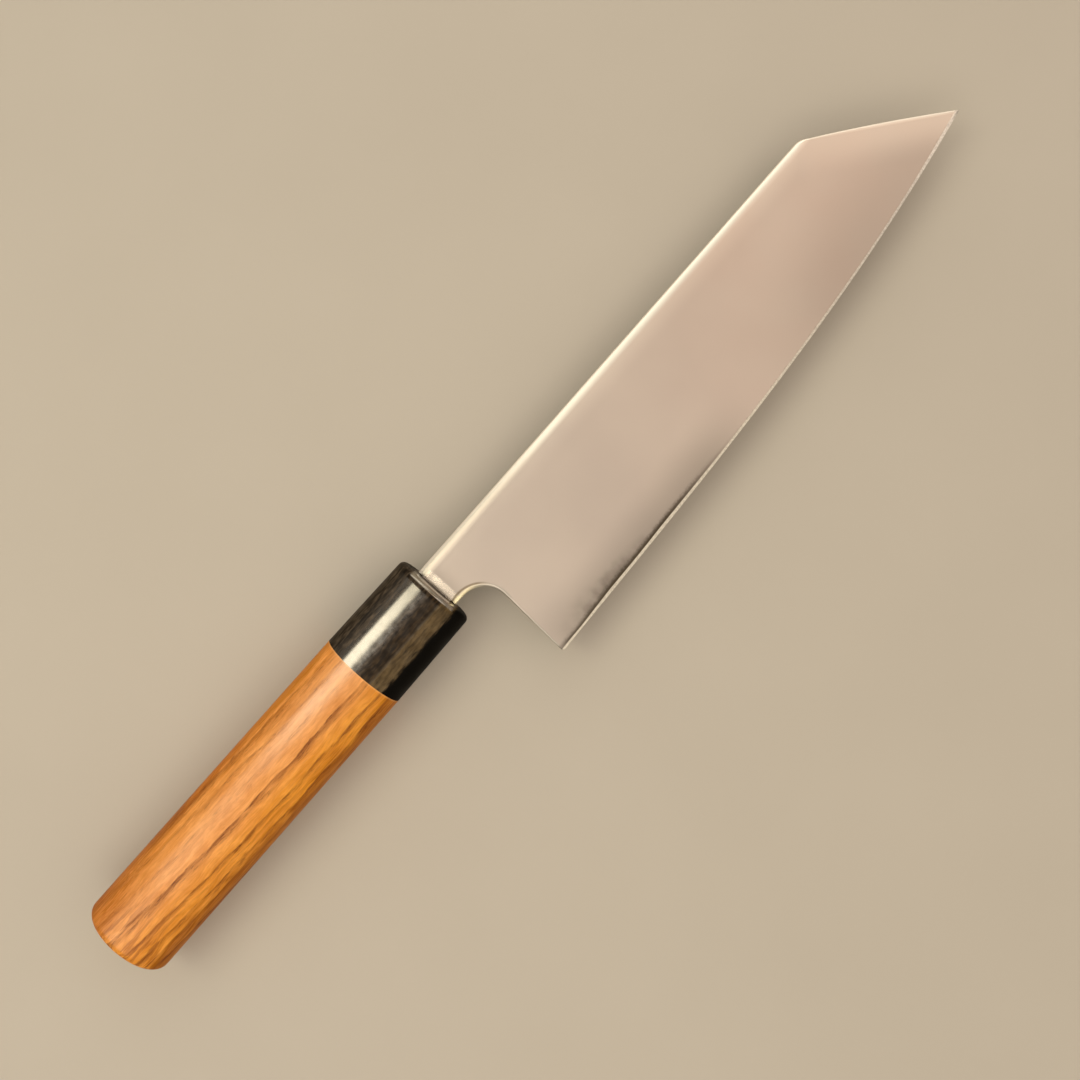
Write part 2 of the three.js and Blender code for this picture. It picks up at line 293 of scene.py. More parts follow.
def studio_world():
    """Dim round light, with the floor's pale tone low down for the eye and for reflections."""
    world = bpy.data.worlds.new("studio")
    world.use_nodes = True
    tree = world.node_tree
    way = add_node(tree, "TexCoord").outputs["Generated"]
    height = add_node(tree, "SeparateXYZ", {0: way}).outputs["Z"]
    pale = product(tree, fade(tree, height, PALE_WORLD_TO, PALE_WORLD_FROM), seen_rays(tree))
    fill(tree, tree.nodes["Background"], {"Color": tint(tree, pale, DIM, PALE)})
    return world


bpy.context.scene.world = studio_world()
print("world:", bpy.context.scene.world.name)

# %% [markdown]
# The next helpers select parts of a mesh by their place, as one would by clicking, and cut or join pieces
# with a Boolean modifier that is applied at once.

# %% Helpers for modelling
def take(piece):
    """Select just this piece, so that an operator acts on nothing else."""
    bpy.ops.object.select_all(action="DESELECT")
    piece.select_set(True)
    bpy.context.view_layer.objects.active = piece


def edit(piece):
    take(piece)
    bpy.ops.object.mode_set(mode="EDIT")
    bpy.ops.mesh.select_mode(type="EDGE")


def leave_edit():
    bpy.ops.object.mode_set(mode="OBJECT")


def select_level(piece, x, kind="EDGE", reach=0.01 * MM):
    """In edit mode, select just the edges or faces whose corners all lie at one station along the axis."""
    bpy.ops.mesh.select_mode(type=kind)
    bpy.ops.mesh.select_all(action="DESELECT")
    mesh = bmesh.from_edit_mesh(piece.data)
    for part in mesh.edges if kind == "EDGE" else mesh.faces:
        part.select_set(all(abs(corner.co.x - x) < reach for corner in part.verts))
    bmesh.update_edit_mesh(piece.data)


def boolean(piece, other, operation):
    take(piece)
    bpy.ops.object.modifier_add(type="BOOLEAN")
    modifier = piece.modifiers[-1]
    modifier.operation = operation
    modifier.solver = "EXACT"
    modifier.object = other
    bpy.ops.object.modifier_apply(modifier=modifier.name)
    bpy.data.objects.remove(other)


def smooth(piece, angle):
    """Round surfaces shade smoothly, flat ones stay flat, and corners sharper than the angle stay crisp."""
    take(piece)
    bpy.ops.object.shade_smooth_by_angle(angle=math.radians(angle))
    bpy.ops.object.modifier_add(type="WEIGHTED_NORMAL")
    piece.modifiers[-1].keep_sharp = True
    piece.modifiers[-1].weight = 100
    bpy.ops.object.modifier_apply(modifier=piece.modifiers[-1].name)


print("modelling helpers ready")

# %% [markdown]
# The tang is the tapering tail of the blade that is glued into the handle. It is made three times: as part
# of the blade, and a little larger as the cutter for the slots in the ferrule and in the wood. A cube set
# to its length is narrowed at its back end.

# %% Tang bar
FIT = 0.3 * MM
SHOULDER_GAP = 0.1 * MM
TANG_ROOT_WIDTH = 9.5 * MM
TANG_END_WIDTH = 5 * MM
TANG_THICKNESS = 1.9 * MM
FERRULE_LENGTH = 27.9 * MM
joint_x = wood_high.x
mouth_x = joint_x + FERRULE_LENGTH
shoulder_x = mouth_x + SHOULDER_GAP
tang_end_x = blade_low.x


def tang_width(x):
    along = (shoulder_x - x) / (shoulder_x - tang_end_x)
    return TANG_ROOT_WIDTH + (TANG_END_WIDTH - TANG_ROOT_WIDTH) * along


def tang_bar(growth, from_x, to_x):
    front, back = tang_width(to_x) + 2 * growth, tang_width(from_x) + 2 * growth
    bpy.ops.object.select_all(action="DESELECT")
    bpy.ops.mesh.primitive_cube_add(size=1, location=((from_x + to_x) / 2, 0, 0))
    bar = bpy.context.object
    bar.scale = (to_x - from_x, front, TANG_THICKNESS + 2 * growth)
    bpy.ops.object.transform_apply(location=True, rotation=False, scale=True)
    edit(bar)
    select_level(bar, from_x, kind="FACE")
    bpy.ops.transform.resize(value=(1, back / front, 1), center_override=(from_x, 0, 0))
    leave_edit()
    return bar


print("tang length in mm:", round((shoulder_x - tang_end_x) / MM, 1))

# %% [markdown]
# The handle and the ferrule are oval lengths that taper. A circle is drawn at the back end, pressed to an
# oval, extruded to the front end and pressed again there, and the holes at both ends are filled. A rim is
# rounded by a Bevel, which does that better than more rings, because it keeps the quarter round true on an
# oval. A bore is cut with a cylinder.

# %% Oval lengths
OVAL_POINTS = 128
ROUND_SEGMENTS = 8
DRILL_POINTS = 64


def oval_length(name, back, front):
    """Closed oval length between two ends that are given as station, width and thickness."""
    bpy.ops.object.select_all(action="DESELECT")
    bpy.ops.mesh.primitive_circle_add(vertices=OVAL_POINTS, radius=0.5, rotation=(0, math.pi / 2, 0))
    piece = bpy.context.object
    piece.name = name
    piece.data.name = name
    bpy.ops.object.transform_apply(location=False, rotation=True, scale=False)
    edit(piece)
    bpy.ops.mesh.select_all(action="SELECT")
    bpy.ops.transform.resize(value=(1, back[1], back[2]), center_override=(0, 0, 0))
    bpy.ops.transform.translate(value=(back[0], 0, 0))
    bpy.ops.mesh.extrude_region_move(TRANSFORM_OT_translate={"value": (front[0] - back[0], 0, 0)})
    bpy.ops.transform.resize(
        value=(1, front[1] / back[1], front[2] / back[2]), center_override=(front[0], 0, 0))
    bpy.ops.mesh.select_all(action="SELECT")
    bpy.ops.mesh.fill_holes(sides=0)
    bpy.ops.mesh.select_all(action="SELECT")
    bpy.ops.mesh.normals_make_consistent(inside=False)
    leave_edit()
    return piece


def round_rim(piece, x, radius):
    edit(piece)
    select_level(piece, x)
    bpy.ops.mesh.bevel(offset=radius, segments=ROUND_SEGMENTS, profile=0.5, affect="EDGES")
    leave_edit()


def drill(piece, radius, from_x, to_x):
    bpy.ops.object.select_all(action="DESELECT")
    bpy.ops.mesh.primitive_cylinder_add(
        vertices=DRILL_POINTS, radius=radius, depth=to_x - from_x,
        location=((from_x + to_x) / 2, 0, 0), rotation=(0, math.pi / 2, 0))
    boolean(piece, bpy.context.object, "DIFFERENCE")


print("points round an oval:", OVAL_POINTS)

# %% [markdown]
# The handle is an oval length of wood that tapers a little towards the ferrule. The rim of its butt is
# rounded, as sandpaper leaves it. Its front end is bored for the dowel, and a slot behind the bore takes the
# tang and its adhesive. They don't show, but the pieces come apart as the real ones would.

# %% Wooden handle
BUTT_ROUNDING = 2.4 * MM
DOWEL_RADIUS = 7.05 * MM
RESIN_WALL = 0.6 * MM
SLOT_GROWTH = FIT + RESIN_WALL + FIT
OVERSHOOT = 1 * MM
CORNER_ANGLE = 35
butt_width, butt_thickness = wood_high.y - wood_low.y, wood_high.z - wood_low.z
joint_width, joint_thickness = ferrule_high.y - ferrule_low.y, ferrule_high.z - ferrule_low.z
dowel_low, dowel_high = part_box("joining_dowel")

handle = oval_length(
    "wooden_handle", (wood_low.x, butt_width, butt_thickness), (joint_x, joint_width, joint_thickness))
round_rim(handle, wood_low.x, BUTT_ROUNDING)
drill(handle, DOWEL_RADIUS + FIT, dowel_low.x - FIT, joint_x + OVERSHOOT)
boolean(handle, tang_bar(SLOT_GROWTH, tang_end_x - SLOT_GROWTH, joint_x), "DIFFERENCE")
smooth(handle, CORNER_ANGLE)
print("wooden handle faces:", len(handle.data.polygons))

# %% [markdown]
# The ferrule is a collar of polished horn in front of the wood. It starts like the handle. Its front rim is
# rounded, and its front face swells very slightly, as a face does that is polished by hand. The swell
# is made by extruding the face inwards in small steps. A slot lets the tang through.

# %% Horn ferrule
MOUTH_WIDTH = 22.5 * MM
MOUTH_THICKNESS = 18.8 * MM
MOUTH_ROUNDING = 1.5 * MM
MOUTH_CROWN = 0.15 * MM
CROWN_STEPS = 8


def swell_front(piece, x):
    edit(piece)
    select_level(piece, x, kind="FACE")
    for step in range(1, CROWN_STEPS):
        before, now = 1 - (step - 1) / CROWN_STEPS, 1 - step / CROWN_STEPS
        rise = MOUTH_CROWN * (before ** 2 - now ** 2)
        bpy.ops.mesh.extrude_region_move(TRANSFORM_OT_translate={"value": (rise, 0, 0)})
        bpy.ops.transform.resize(value=(1, now / before, now / before), center_override=(x, 0, 0))
    leave_edit()


ferrule = oval_length(
    "horn_ferrule", (joint_x, joint_width, joint_thickness),
    (mouth_x - MOUTH_CROWN, MOUTH_WIDTH, MOUTH_THICKNESS))
round_rim(ferrule, mouth_x - MOUTH_CROWN, MOUTH_ROUNDING)
swell_front(ferrule, mouth_x - MOUTH_CROWN)
drill(ferrule, DOWEL_RADIUS + FIT, joint_x - OVERSHOOT, dowel_high.x + FIT)
boolean(ferrule, tang_bar(FIT, dowel_high.x, mouth_x + OVERSHOOT), "DIFFERENCE")
smooth(ferrule, CORNER_ANGLE)
print("horn ferrule faces:", len(ferrule.data.polygons))

# %% [markdown]
# The blade's measures come first: the lengths and drops of its outline, how wide each border is rounded or
# bevelled, and how many steps each stretch gets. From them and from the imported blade's box follow the named
# points of the outline, in the blade's own plane.

# %% Measures of the blade
SPINE_HEIGHT = 6.2 * MM
SPINE_RISE = 0.4 * MM
NECK_DEPTH = 6.4 * MM
NECK_RUN = 2.9 * MM
CHOIL_RADIUS = 7.4 * MM
HEEL_LEAN = 0.9 * MM
BLADE_HEIGHT = 41 * MM
EDGE_HEEL_RISE = 0.039
EDGE_TIP_RISE = 0.211
TIP_DROP = 25.2 * MM
CLIP_LENGTH = 33.2 * MM
CLIP_BULGE = 0.45 * MM
CLIP_CORNER = 1.5 * MM
HEEL_CORNER = 0.8 * MM
SPINE_EASE_AT_NECK, SPINE_EASE_AT_CLIP = 3 * MM, 1.6 * MM
CLIP_EASE = 0.6 * MM
SHOULDER_EASE = 0.2 * MM
NECK_EASE, CHOIL_EASE, HEEL_EASE = 1.8 * MM, 0.6 * MM, 0.25 * MM
BEVEL_WIDTH = 1 * MM
BEVEL_AT_HEEL, BEVEL_AT_MIDDLE, BEVEL_AT_TIP = 0.5 * MM, 0.6 * MM, 0.9 * MM
BEVEL_TURNS = (0.115, 0.385, 0.85)
NECK_STEPS, CHOIL_STEPS, HEEL_STEPS, HEEL_CORNER_STEPS = 2, 28, 12, 6
EDGE_STEPS, CLIP_STEPS, CLIP_CORNER_STEPS, SPINE_STEPS = 90, 20, 8, 48

choil_x = mouth_x + NECK_RUN
choil_end = Vector((choil_x + CHOIL_RADIUS, -NECK_DEPTH - CHOIL_RADIUS))
heel = Vector((choil_end.x - HEEL_LEAN, SPINE_HEIGHT - BLADE_HEIGHT))
tip = Vector((blade_high.x, SPINE_HEIGHT - TIP_DROP))
clip = Vector((tip.x - CLIP_LENGTH, SPINE_HEIGHT + SPINE_RISE))
edge_length = tip.x - heel.x
shoulder_foot = Vector((shoulder_x, -NECK_DEPTH))
shoulder_top = Vector((shoulder_x, SPINE_HEIGHT))
edge_heights = (
    heel.y, heel.y + edge_length / 3 * EDGE_HEEL_RISE, tip.y - edge_length / 3 * EDGE_TIP_RISE, tip.y)
print("edge length in mm:", round(edge_length / MM, 1))

# %% [markdown]
# The blade's outline is a chain of stretches: the neck, the round choil, the heel, the long curved edge, the
# clip that swells a little, its eased corner, the spine and the shoulder. Each also says how wide its border
# is at both ends, because the spine is rounded more at the neck than at the clip, and because the cutting
# edge has a ground bevel instead of a round. Lines, a circle's arc and Bezier curves give the points.

# %% Outline of the blade
def line(start, end, steps):
    return [start.lerp(end, i / steps) for i in range(steps + 1)]


def bend(start, handle_point, end, steps):
    """Bezier curve with one handle."""
    chain = [i / steps for i in range(steps + 1)]
    return [start.lerp(handle_point, t).lerp(handle_point.lerp(end, t), t) for t in chain]


def edge_point(t):
    a, b, c, d = edge_heights
    s = 1 - t
    return Vector((heel.x + edge_length * t, a * s**3 + 3 * b * t * s**2 + 3 * c * t**2 * s + d * t**3))


def choil_arc(steps):
    angles = [math.pi / 2 * (1 - i / steps) for i in range(steps + 1)]
    return [Vector((choil_x + CHOIL_RADIUS * math.cos(a), choil_end.y + CHOIL_RADIUS * math.sin(a)))
            for a in angles]


def blade_stretches():
    """Each stretch is its points, its border's width at both ends, and whether the border is a bevel."""
    heel_top = heel.lerp(choil_end, HEEL_CORNER / (choil_end - heel).length)
    edge_start = HEEL_CORNER / edge_length
    edge = [edge_point(edge_start + (1 - edge_start) * i / EDGE_STEPS) for i in range(EDGE_STEPS + 1)]
    widest, thin, thin_end = (round(share * EDGE_STEPS) for share in BEVEL_TURNS)
    chord = (clip - tip).normalized()
    clip_end = clip - chord * CLIP_CORNER
    bulge = (tip + clip_end) / 2 + Vector((chord.y, -chord.x)) * 2 * CLIP_BULGE
    spine_start = clip + (shoulder_top - clip).normalized() * CLIP_CORNER
    return [
        (line(shoulder_foot, Vector((choil_x, -NECK_DEPTH)), NECK_STEPS), NECK_EASE, NECK_EASE, False),
        (choil_arc(CHOIL_STEPS), NECK_EASE, CHOIL_EASE, False),
        (line(choil_end, heel_top, HEEL_STEPS), CHOIL_EASE, HEEL_EASE, False),
        (bend(heel_top, heel, edge[0], HEEL_CORNER_STEPS), HEEL_EASE, BEVEL_AT_HEEL, True),
        (edge[:widest + 1], BEVEL_AT_HEEL, BEVEL_WIDTH, True),
        (edge[widest:thin + 1], BEVEL_WIDTH, BEVEL_AT_MIDDLE, True),
        (edge[thin:thin_end + 1], BEVEL_AT_MIDDLE, BEVEL_AT_MIDDLE, True),
        (edge[thin_end:], BEVEL_AT_MIDDLE, BEVEL_AT_TIP, True),
        (bend(tip, bulge, clip_end, CLIP_STEPS), CLIP_EASE, CLIP_EASE, False),
        (bend(clip_end, clip, spine_start, CLIP_CORNER_STEPS), CLIP_EASE, SPINE_EASE_AT_CLIP, False),
        (line(spine_start, shoulder_top, SPINE_STEPS), SPINE_EASE_AT_CLIP, SPINE_EASE_AT_NECK, False),
        (line(shoulder_top, shoulder_foot, 1), SHOULDER_EASE, SHOULDER_EASE, False),
    ]


def outline_sides():
    """One entry for each side of the outline: its start, the way inwards, its border there, and its kind."""
    sides = []
    for points, first, last, bevel in blade_stretches():
        count = len(points) - 1
        for i in range(count):
            along = (points[i + 1] - points[i]).normalized()
            widths = [first + (last - first) * k / count for k in (i, i + 1)]
            sides.append((points[i], Vector((-along.y, along.x)), widths, bevel))
    return sides


sides = outline_sides()
print("outline points:", len(sides))

# %% [markdown]
# The blade itself is ground: each face is one plane, thick at the neck's spine and thin behind the edge. The
# mesh of a side is a row of rings. Each is the outline again, a step further in and up, over a round or a
# bevel, until the last one lies on the ground plane. Where two sides of the outline meet, the ring's corner
# is where their borders meet, so borders of different widths run into each other.

# %% Rings of the blade
SPINE_THICKNESS = 2.5 * MM
HEEL_EDGE_THICKNESS = 0.54 * MM
TIP_EDGE_THICKNESS = 0.5 * MM
BORDER_STEPS = 12
PARALLEL = 1e-6


def face_height(place):
    """Half the blade's thickness on the ground plane, which three known thicknesses fix."""
    corners = [
        Vector((shoulder_x, SPINE_HEIGHT, SPINE_THICKNESS / 2)),
        Vector((heel.x, heel.y + BEVEL_WIDTH, HEEL_EDGE_THICKNESS / 2)),
        Vector((tip.x - BEVEL_WIDTH, tip.y, TIP_EDGE_THICKNESS / 2)),
    ]
    normal = (corners[1] - corners[0]).cross(corners[2] - corners[0])
    return corners[0].z - normal.xy.dot(place - corners[0].xy) / normal.z


def border_corner(before, after):
    """The point inside two sides that meet, at each side's own border width from it."""
    start, inward, widths, _ = after
    turn = before[1].x * inward.y - before[1].y * inward.x
    if abs(turn) < PARALLEL:
        return start + inward * widths[0]
    first, second = before[2][1], widths[0]
    return start + Vector((
        (first * inward.y - second * before[1].y) / turn,
        (second * before[1].x - first * inward.x) / turn))


def ring_place(number, step):
    """Where one point of the outline is once its border has run in by so many steps."""
    start, _, _, bevel = sides[number]
    inner = border_corner(sides[number - 1], sides[number])
    angle = math.pi / 2 * step / BORDER_STEPS
    run = step / BORDER_STEPS if bevel else 1 - math.cos(angle)
    rise = step / BORDER_STEPS if bevel else math.sin(angle)
    place = start.lerp(inner, run)
    return Vector((place.x, place.y, rise * face_height(inner)))


def place_ring(piece, step):
    """Move the selected ring to its step. Each point carries its number along the outline with it."""
    mesh = bmesh.from_edit_mesh(piece.data)
    number = mesh.verts.layers.int["outline_number"]
    for corner in mesh.verts:
        if corner.select:
            corner.co = ring_place(corner[number], step)
    bmesh.update_edit_mesh(piece.data)


print("thickness at the neck in mm:", round(2 * face_height(shoulder_top) / MM, 2))

# %% [markdown]
# A circle with as many points as the outline has is pulled onto the outline, in the middle plane. The ring is
# then extruded again and again, each time to its next place, and the last ring is filled. A Bevel would need
# a weight on every edge to change its width along the outline as these rings do. A Mirror modifier makes the
# other side, and a Boolean adds the tang.

# %% Ground blade
BLADE_CORNER_ANGLE = 12
MERGE_DISTANCE = 0.001 * MM

bpy.ops.object.select_all(action="DESELECT")
bpy.ops.mesh.primitive_circle_add(vertices=len(sides), radius=BLADE_HEIGHT)
blade = bpy.context.object
blade.name = "ground_blade"
blade.data.name = "ground_blade"
numbers = blade.data.attributes.new("outline_number", "INT", "POINT")
numbers.data.foreach_set("value", range(len(sides)))
edit(blade)
bpy.ops.mesh.select_all(action="SELECT")
place_ring(blade, 0)
for step in range(1, BORDER_STEPS + 1):
    bpy.ops.mesh.extrude_region_move()
    place_ring(blade, step)
bpy.ops.mesh.edge_face_add()
leave_edit()
bpy.ops.object.modifier_add(type="MIRROR")
blade.modifiers[-1].use_axis = (False, False, True)
blade.modifiers[-1].merge_threshold = MERGE_DISTANCE
bpy.ops.object.modifier_apply(modifier=blade.modifiers[-1].name)
edit(blade)
bpy.ops.mesh.select_all(action="SELECT")
bpy.ops.mesh.remove_doubles(threshold=MERGE_DISTANCE)
bpy.ops.mesh.normals_make_consistent(inside=False)
leave_edit()
boolean(blade, tang_bar(0, tang_end_x, shoulder_x + OVERSHOOT), "UNION")
smooth(blade, BLADE_CORNER_ANGLE)
print("ground blade faces:", len(blade.data.polygons))

# %% [markdown]
# Wood and horn both grow in fibres, and the dowel inside does too, so the streaks are one node group. It
# stretches a noise along the handle: the inputs are how long and how wide a streak is, and the output is
# a mask.

# %% Group of fibre streaks
def new_group(name, inputs, outputs):
    group = bpy.data.node_groups.new(name, "ShaderNodeTree")
    for direction, sockets in (("INPUT", inputs), ("OUTPUT", outputs)):
        for socket_name, kind in sockets.items():
            group.interface.new_socket(socket_name, in_out=direction, socket_type="NodeSocket" + kind)
    entry = group.nodes.new("NodeGroupInput")
    leave = group.nodes.new("NodeGroupOutput")
    return group, entry.outputs, leave


def use_group(tree, group, inputs):
    return add_node(tree, "Group", inputs, node_tree=group).outputs


def fibre_streaks():
    inputs = {"Place": "Vector", "Length": "Float", "Width": "Float"}
    group, given, leave = new_group("fibre_streaks", inputs, {"Streak": "Float"})
    lengths = add_node(group, "CombineXYZ", {0: given["Length"], 1: given["Width"], 2: given["Width"]})
    stretched = add_node(
        group, "VectorMath", {0: given["Place"], 1: lengths.outputs[0]}, operation="DIVIDE")
    streak = noise(group, stretched.outputs[0], detail=3.0, roughness=0.6)
    fill(group, leave, {"Streak": fade(group, streak, 0.34, 0.66)})
    return group


def fibre_mask(tree, place, length, width):
    return use_group(tree, streaks, {"Place": place, "Length": length, "Width": width})["Streak"]


streaks = fibre_streaks()
print("group:", streaks.name)

# %% [markdown]
# Every handled surface has a patchy shine, where fingers and cloths have touched it. This group is a soft
# cloudy mask of a given patch size, which each finish uses on its roughness.

# %% Group of handling marks
def handling_marks():
    inputs = {"Place": "Vector", "Patch": "Float"}
    group, given, leave = new_group("handling_marks", inputs, {"Shine": "Float"})
    patches = sum_of(group, "DIVIDE", 1.0, given["Patch"])
    cloud = noise(group, given["Place"], scale=patches, detail=4.0, roughness=0.6)
    fill(group, leave, {"Shine": fade(group, cloud, 0.3, 0.7)})
    return group


def shine_mask(tree, place, patch):
    return use_group(tree, marks, {"Place": place, "Patch": patch})["Shine"]


marks = handling_marks()
print("group:", marks.name)

# %% [markdown]
# The handle's wood is ring porous: each year starts with a dark porous line that fades out into dense pale
# wood. The layers run along the handle and bend towards the spine at the butt, so the coordinate that
# counts the layers is a bent one, stirred by a slow and a quick noise. A colour ramp over that coordinate
# holds the years as they lie in this piece of wood, from the edge's side to the spine's: where each line is,
# how dark it is, and how far it fades out.

# %% Growth layers of the wood
LAYER_DRIFT = 0.10
LAYER_BOW = -0.0006
LAYER_LEAN = 0.35
SLOW_STIR, QUICK_STIR = 2.2, 2.1
LAYERS_FROM, LAYERS_TO = -16.0, 18.0
YEARS = [
    (-12.6, 0.8, 1.8), (-8.2, 1.0, 1.6), (-5.6, 0.6, 0.9), (-3.2, 0.9, 1.5), (-1.2, 0.3, 0.7),
    (0.4, 0.9, 1.6), (5.6, 1.0, 2.0), (9.7, 0.25, 1.0), (13.0, 0.4, 1.2), (15.2, 0.6, 1.5),
]
LINE_BORDER = 0.3
PALE_BEFORE_LINE, PALE_AFTER_LINE, PALE_AT_SPINE = 0.04, 0.02, 0.2


def stretched_noise(tree, place, length, width, detail=2.0):
    sizes = (1 / length, 1 / width, 1 / width)
    return noise(tree, add_node(tree, "Mapping", {0: place, 3: sizes}).outputs[0], detail=detail)


def growth_layers(tree, place):
    axes = add_node(tree, "SeparateXYZ", {0: place}).outputs
    slow = stretched_noise(tree, place, length=80.0, width=24.0)
    quick = stretched_noise(tree, place, length=8.0, width=2.6, detail=4.0)
    bow = sum_of(tree, "MULTIPLY_ADD", axes["X"], LAYER_BOW, LAYER_DRIFT)
    layer = sum_of(tree, "MULTIPLY_ADD", axes["X"], bow, axes["Y"])
    layer = sum_of(tree, "MULTIPLY_ADD", axes["Z"], LAYER_LEAN, layer)
    return stirred(tree, stirred(tree, layer, slow, SLOW_STIR), quick, QUICK_STIR)


def year_ramp(tree, layer):
    """Dark at the start of each year, which is sharp towards the spine and fades towards the edge."""
    reach = LAYERS_TO - LAYERS_FROM
    share = fade(tree, layer, LAYERS_FROM, LAYERS_TO)
    share.node.interpolation_type = "LINEAR"
    ramp = add_node(tree, "ValToRGB", {0: share})
    stops = ramp.color_ramp.elements
    stops[1].position = 1.0
    stops[1].color = colour(*[PALE_AT_SPINE] * 3)
    for at, dark, width in YEARS:
        for offset, tone in ((-width, PALE_BEFORE_LINE), (0.0, dark), (LINE_BORDER, PALE_AFTER_LINE)):
            stop = stops.new((at + offset - LAYERS_FROM) / reach)
            stop.color = colour(tone, tone, tone)
    return ramp.outputs[0]


print("years in the wood:", len(YEARS))

# %% [markdown]
# Under the year lines lies the ground colour: yellower on the edge's side, rosier on the spine's side, and
# darker at the butt. Both rims are darker too, partly as the wood's own tone and partly as painted shade
# where the oval turns away from the light. A noise alone would not do, because it looks the same all over.
# So each tone is laid on by its place, in millimetres from the butt and from the axis, with wavering borders.
# A stain is written as its strength and its tone.

# %% Ground colour of the wood
YELLOW_WOOD = (colour(0.75, 0.280, 0.011), colour(0.93, 0.398, 0.042))
YELLOW_WOOD_AT_BUTT = (colour(0.75, 0.287, 0.031), colour(0.93, 0.402, 0.064))
ROSY_WOOD = (colour(0.79, 0.315, 0.068), colour(0.95, 0.430, 0.125))
# The rims' tones are partly the wood's own darker tone and partly painted shade where the oval turns away.
SPINE_RIM_TONE_AND_SHADE = (colour(0.50, 0.138, 0.009), colour(0.56, 0.195, 0.016))
EDGE_RIM_TONE_AND_SHADE = colour(0.29, 0.088, 0.003)
BUTT_SIDE = (0.85, colour(0.47, 0.142, 0.034))
BUTT_STREAK = (0.68, colour(0.32, 0.088, 0.013))
RIM_STREAK = (0.6, colour(0.24, 0.058, 0.008))
ROSY_LAYERS = (1.0, 7.0)
BUTT_YELLOW_ALONG, BUTT_STREAK_ALONG = (64.0, 40.0), (28.0, 3.0)
SPINE_RIM_ALONG, RIM_STREAK_ALONG = (50.0, 75.0), (62.0, 20.0)
SPINE_RIM_ACROSS, RIM_STREAK_ACROSS = (9.6, 10.7), (8.3, 10.0)
BUTT_SIDE_ACROSS, EDGE_RIM_ACROSS = (2.5, 6.5), (-8.8, -10.4)
BUTT_REACH = 30.0
RIM_WAVER = 1.4
RIM_WIDER_AT_BUTT = 0.5


def wood_ground(tree, axes, layer, blotch, fibres):
    along = axes["X"]
    near_butt = fade(tree, along, BUTT_REACH, 0.0)
    yellow = tint(
        tree, fade(tree, along, *BUTT_YELLOW_ALONG),
        tint(tree, blotch, *YELLOW_WOOD), tint(tree, blotch, *YELLOW_WOOD_AT_BUTT))
    ground = tint(tree, fade(tree, layer, *ROSY_LAYERS), yellow, tint(tree, blotch, *ROSY_WOOD))
    rim_place = stirred(tree, axes["Y"], blotch, RIM_WAVER)
    # The darker rims are partly the wood's own tone and partly painted shade where the oval turns away.
    spine_rim_tone_and_shade = tint(tree, fade(tree, along, *SPINE_RIM_ALONG), *SPINE_RIM_TONE_AND_SHADE)
    ground = tint(tree, fade(tree, rim_place, *SPINE_RIM_ACROSS), ground, spine_rim_tone_and_shade)
    edge_rim_place = sum_of(tree, "MULTIPLY_ADD", near_butt, -RIM_WIDER_AT_BUTT, rim_place)
    ground = tint(tree, fade(tree, edge_rim_place, *EDGE_RIM_ACROSS), ground, EDGE_RIM_TONE_AND_SHADE)
    butt_side = product(tree, near_butt, fade(tree, rim_place, *BUTT_SIDE_ACROSS))
    ground = stain(tree, ground, butt_side, *BUTT_SIDE)
    butt_streak = product(
        tree, fade(tree, along, *BUTT_STREAK_ALONG), fade(tree, fibres["butt"], 0.45, 0.85))
    ground = stain(tree, ground, butt_streak, *BUTT_STREAK)
    rim_streak = product(
        tree, fade(tree, rim_place, *RIM_STREAK_ACROSS), fade(tree, along, *RIM_STREAK_ALONG),
        fade(tree, fibres["long"], 0.4, 0.8))
    return stain(tree, ground, rim_streak, *RIM_STREAK)


print("butt tones reach mm:", BUTT_REACH)

# %% [markdown]
# Fibres of several lengths streak the ground. They waver a little, because ruled lines would look printed. A
# thin coat stands for the oil. It shows where the surface faces the light, most on the spine's side near the
# ferrule. It is a coat because a coat's weight may change over the surface, so the dark lines stay dull.

# %% Fibres and oil of the wood
FIBRE_SIZES = {
    "long": (22.0, 0.9), "short": (4.0, 0.8), "fine": (9.0, 0.4), "butt": (12.0, 1.3), "pore": (3.2, 0.3)}
SWAY = 2.6
OIL_FACING = (0.40, 0.12)
OIL_ALONG, OIL_AT_BUTT = (50.0, 85.0), 0.45
OIL_ACROSS, OIL_AT_EDGE = (-6.0, 3.0), 0.2
OIL_PATCHES, OIL_ON_LINES = (0.6, 0.9), 0.3


def wavering(tree, place):
    """The place shifted a little to the side, slowly along the handle."""
    sway = stirred(tree, 0.0, stretched_noise(tree, place, length=15.0, width=6.0), SWAY)
    shift = add_node(tree, "CombineXYZ", {1: sway, 2: sway}).outputs[0]
    return add_node(tree, "VectorMath", {0: place, 1: shift}, operation="ADD").outputs[0]


def oil_coat(tree, axes, shine, years):
    facing = add_node(tree, "LayerWeight", {"Blend": 0.5}).outputs["Facing"]
    return product(
        tree, fade(tree, facing, *OIL_FACING), span(tree, shine, *OIL_PATCHES),
        span(tree, years, 1.0, OIL_ON_LINES),
        span(tree, fade(tree, axes["X"], *OIL_ALONG), OIL_AT_BUTT, 1.0),
        span(tree, fade(tree, axes["Y"], *OIL_ACROSS), OIL_AT_EDGE, 1.0))


print("kinds of fibre:", len(FIBRE_SIZES))

# %% [markdown]
# The handle's finish puts these together. The year lines go over the fibres, broken up into stretches,
# because a saw never follows a layer exactly, and dark pores sit in the lines. A thin pale line along the
# joint is a painted highlight of the wood's edge. Fibres and pores also give a faint relief.

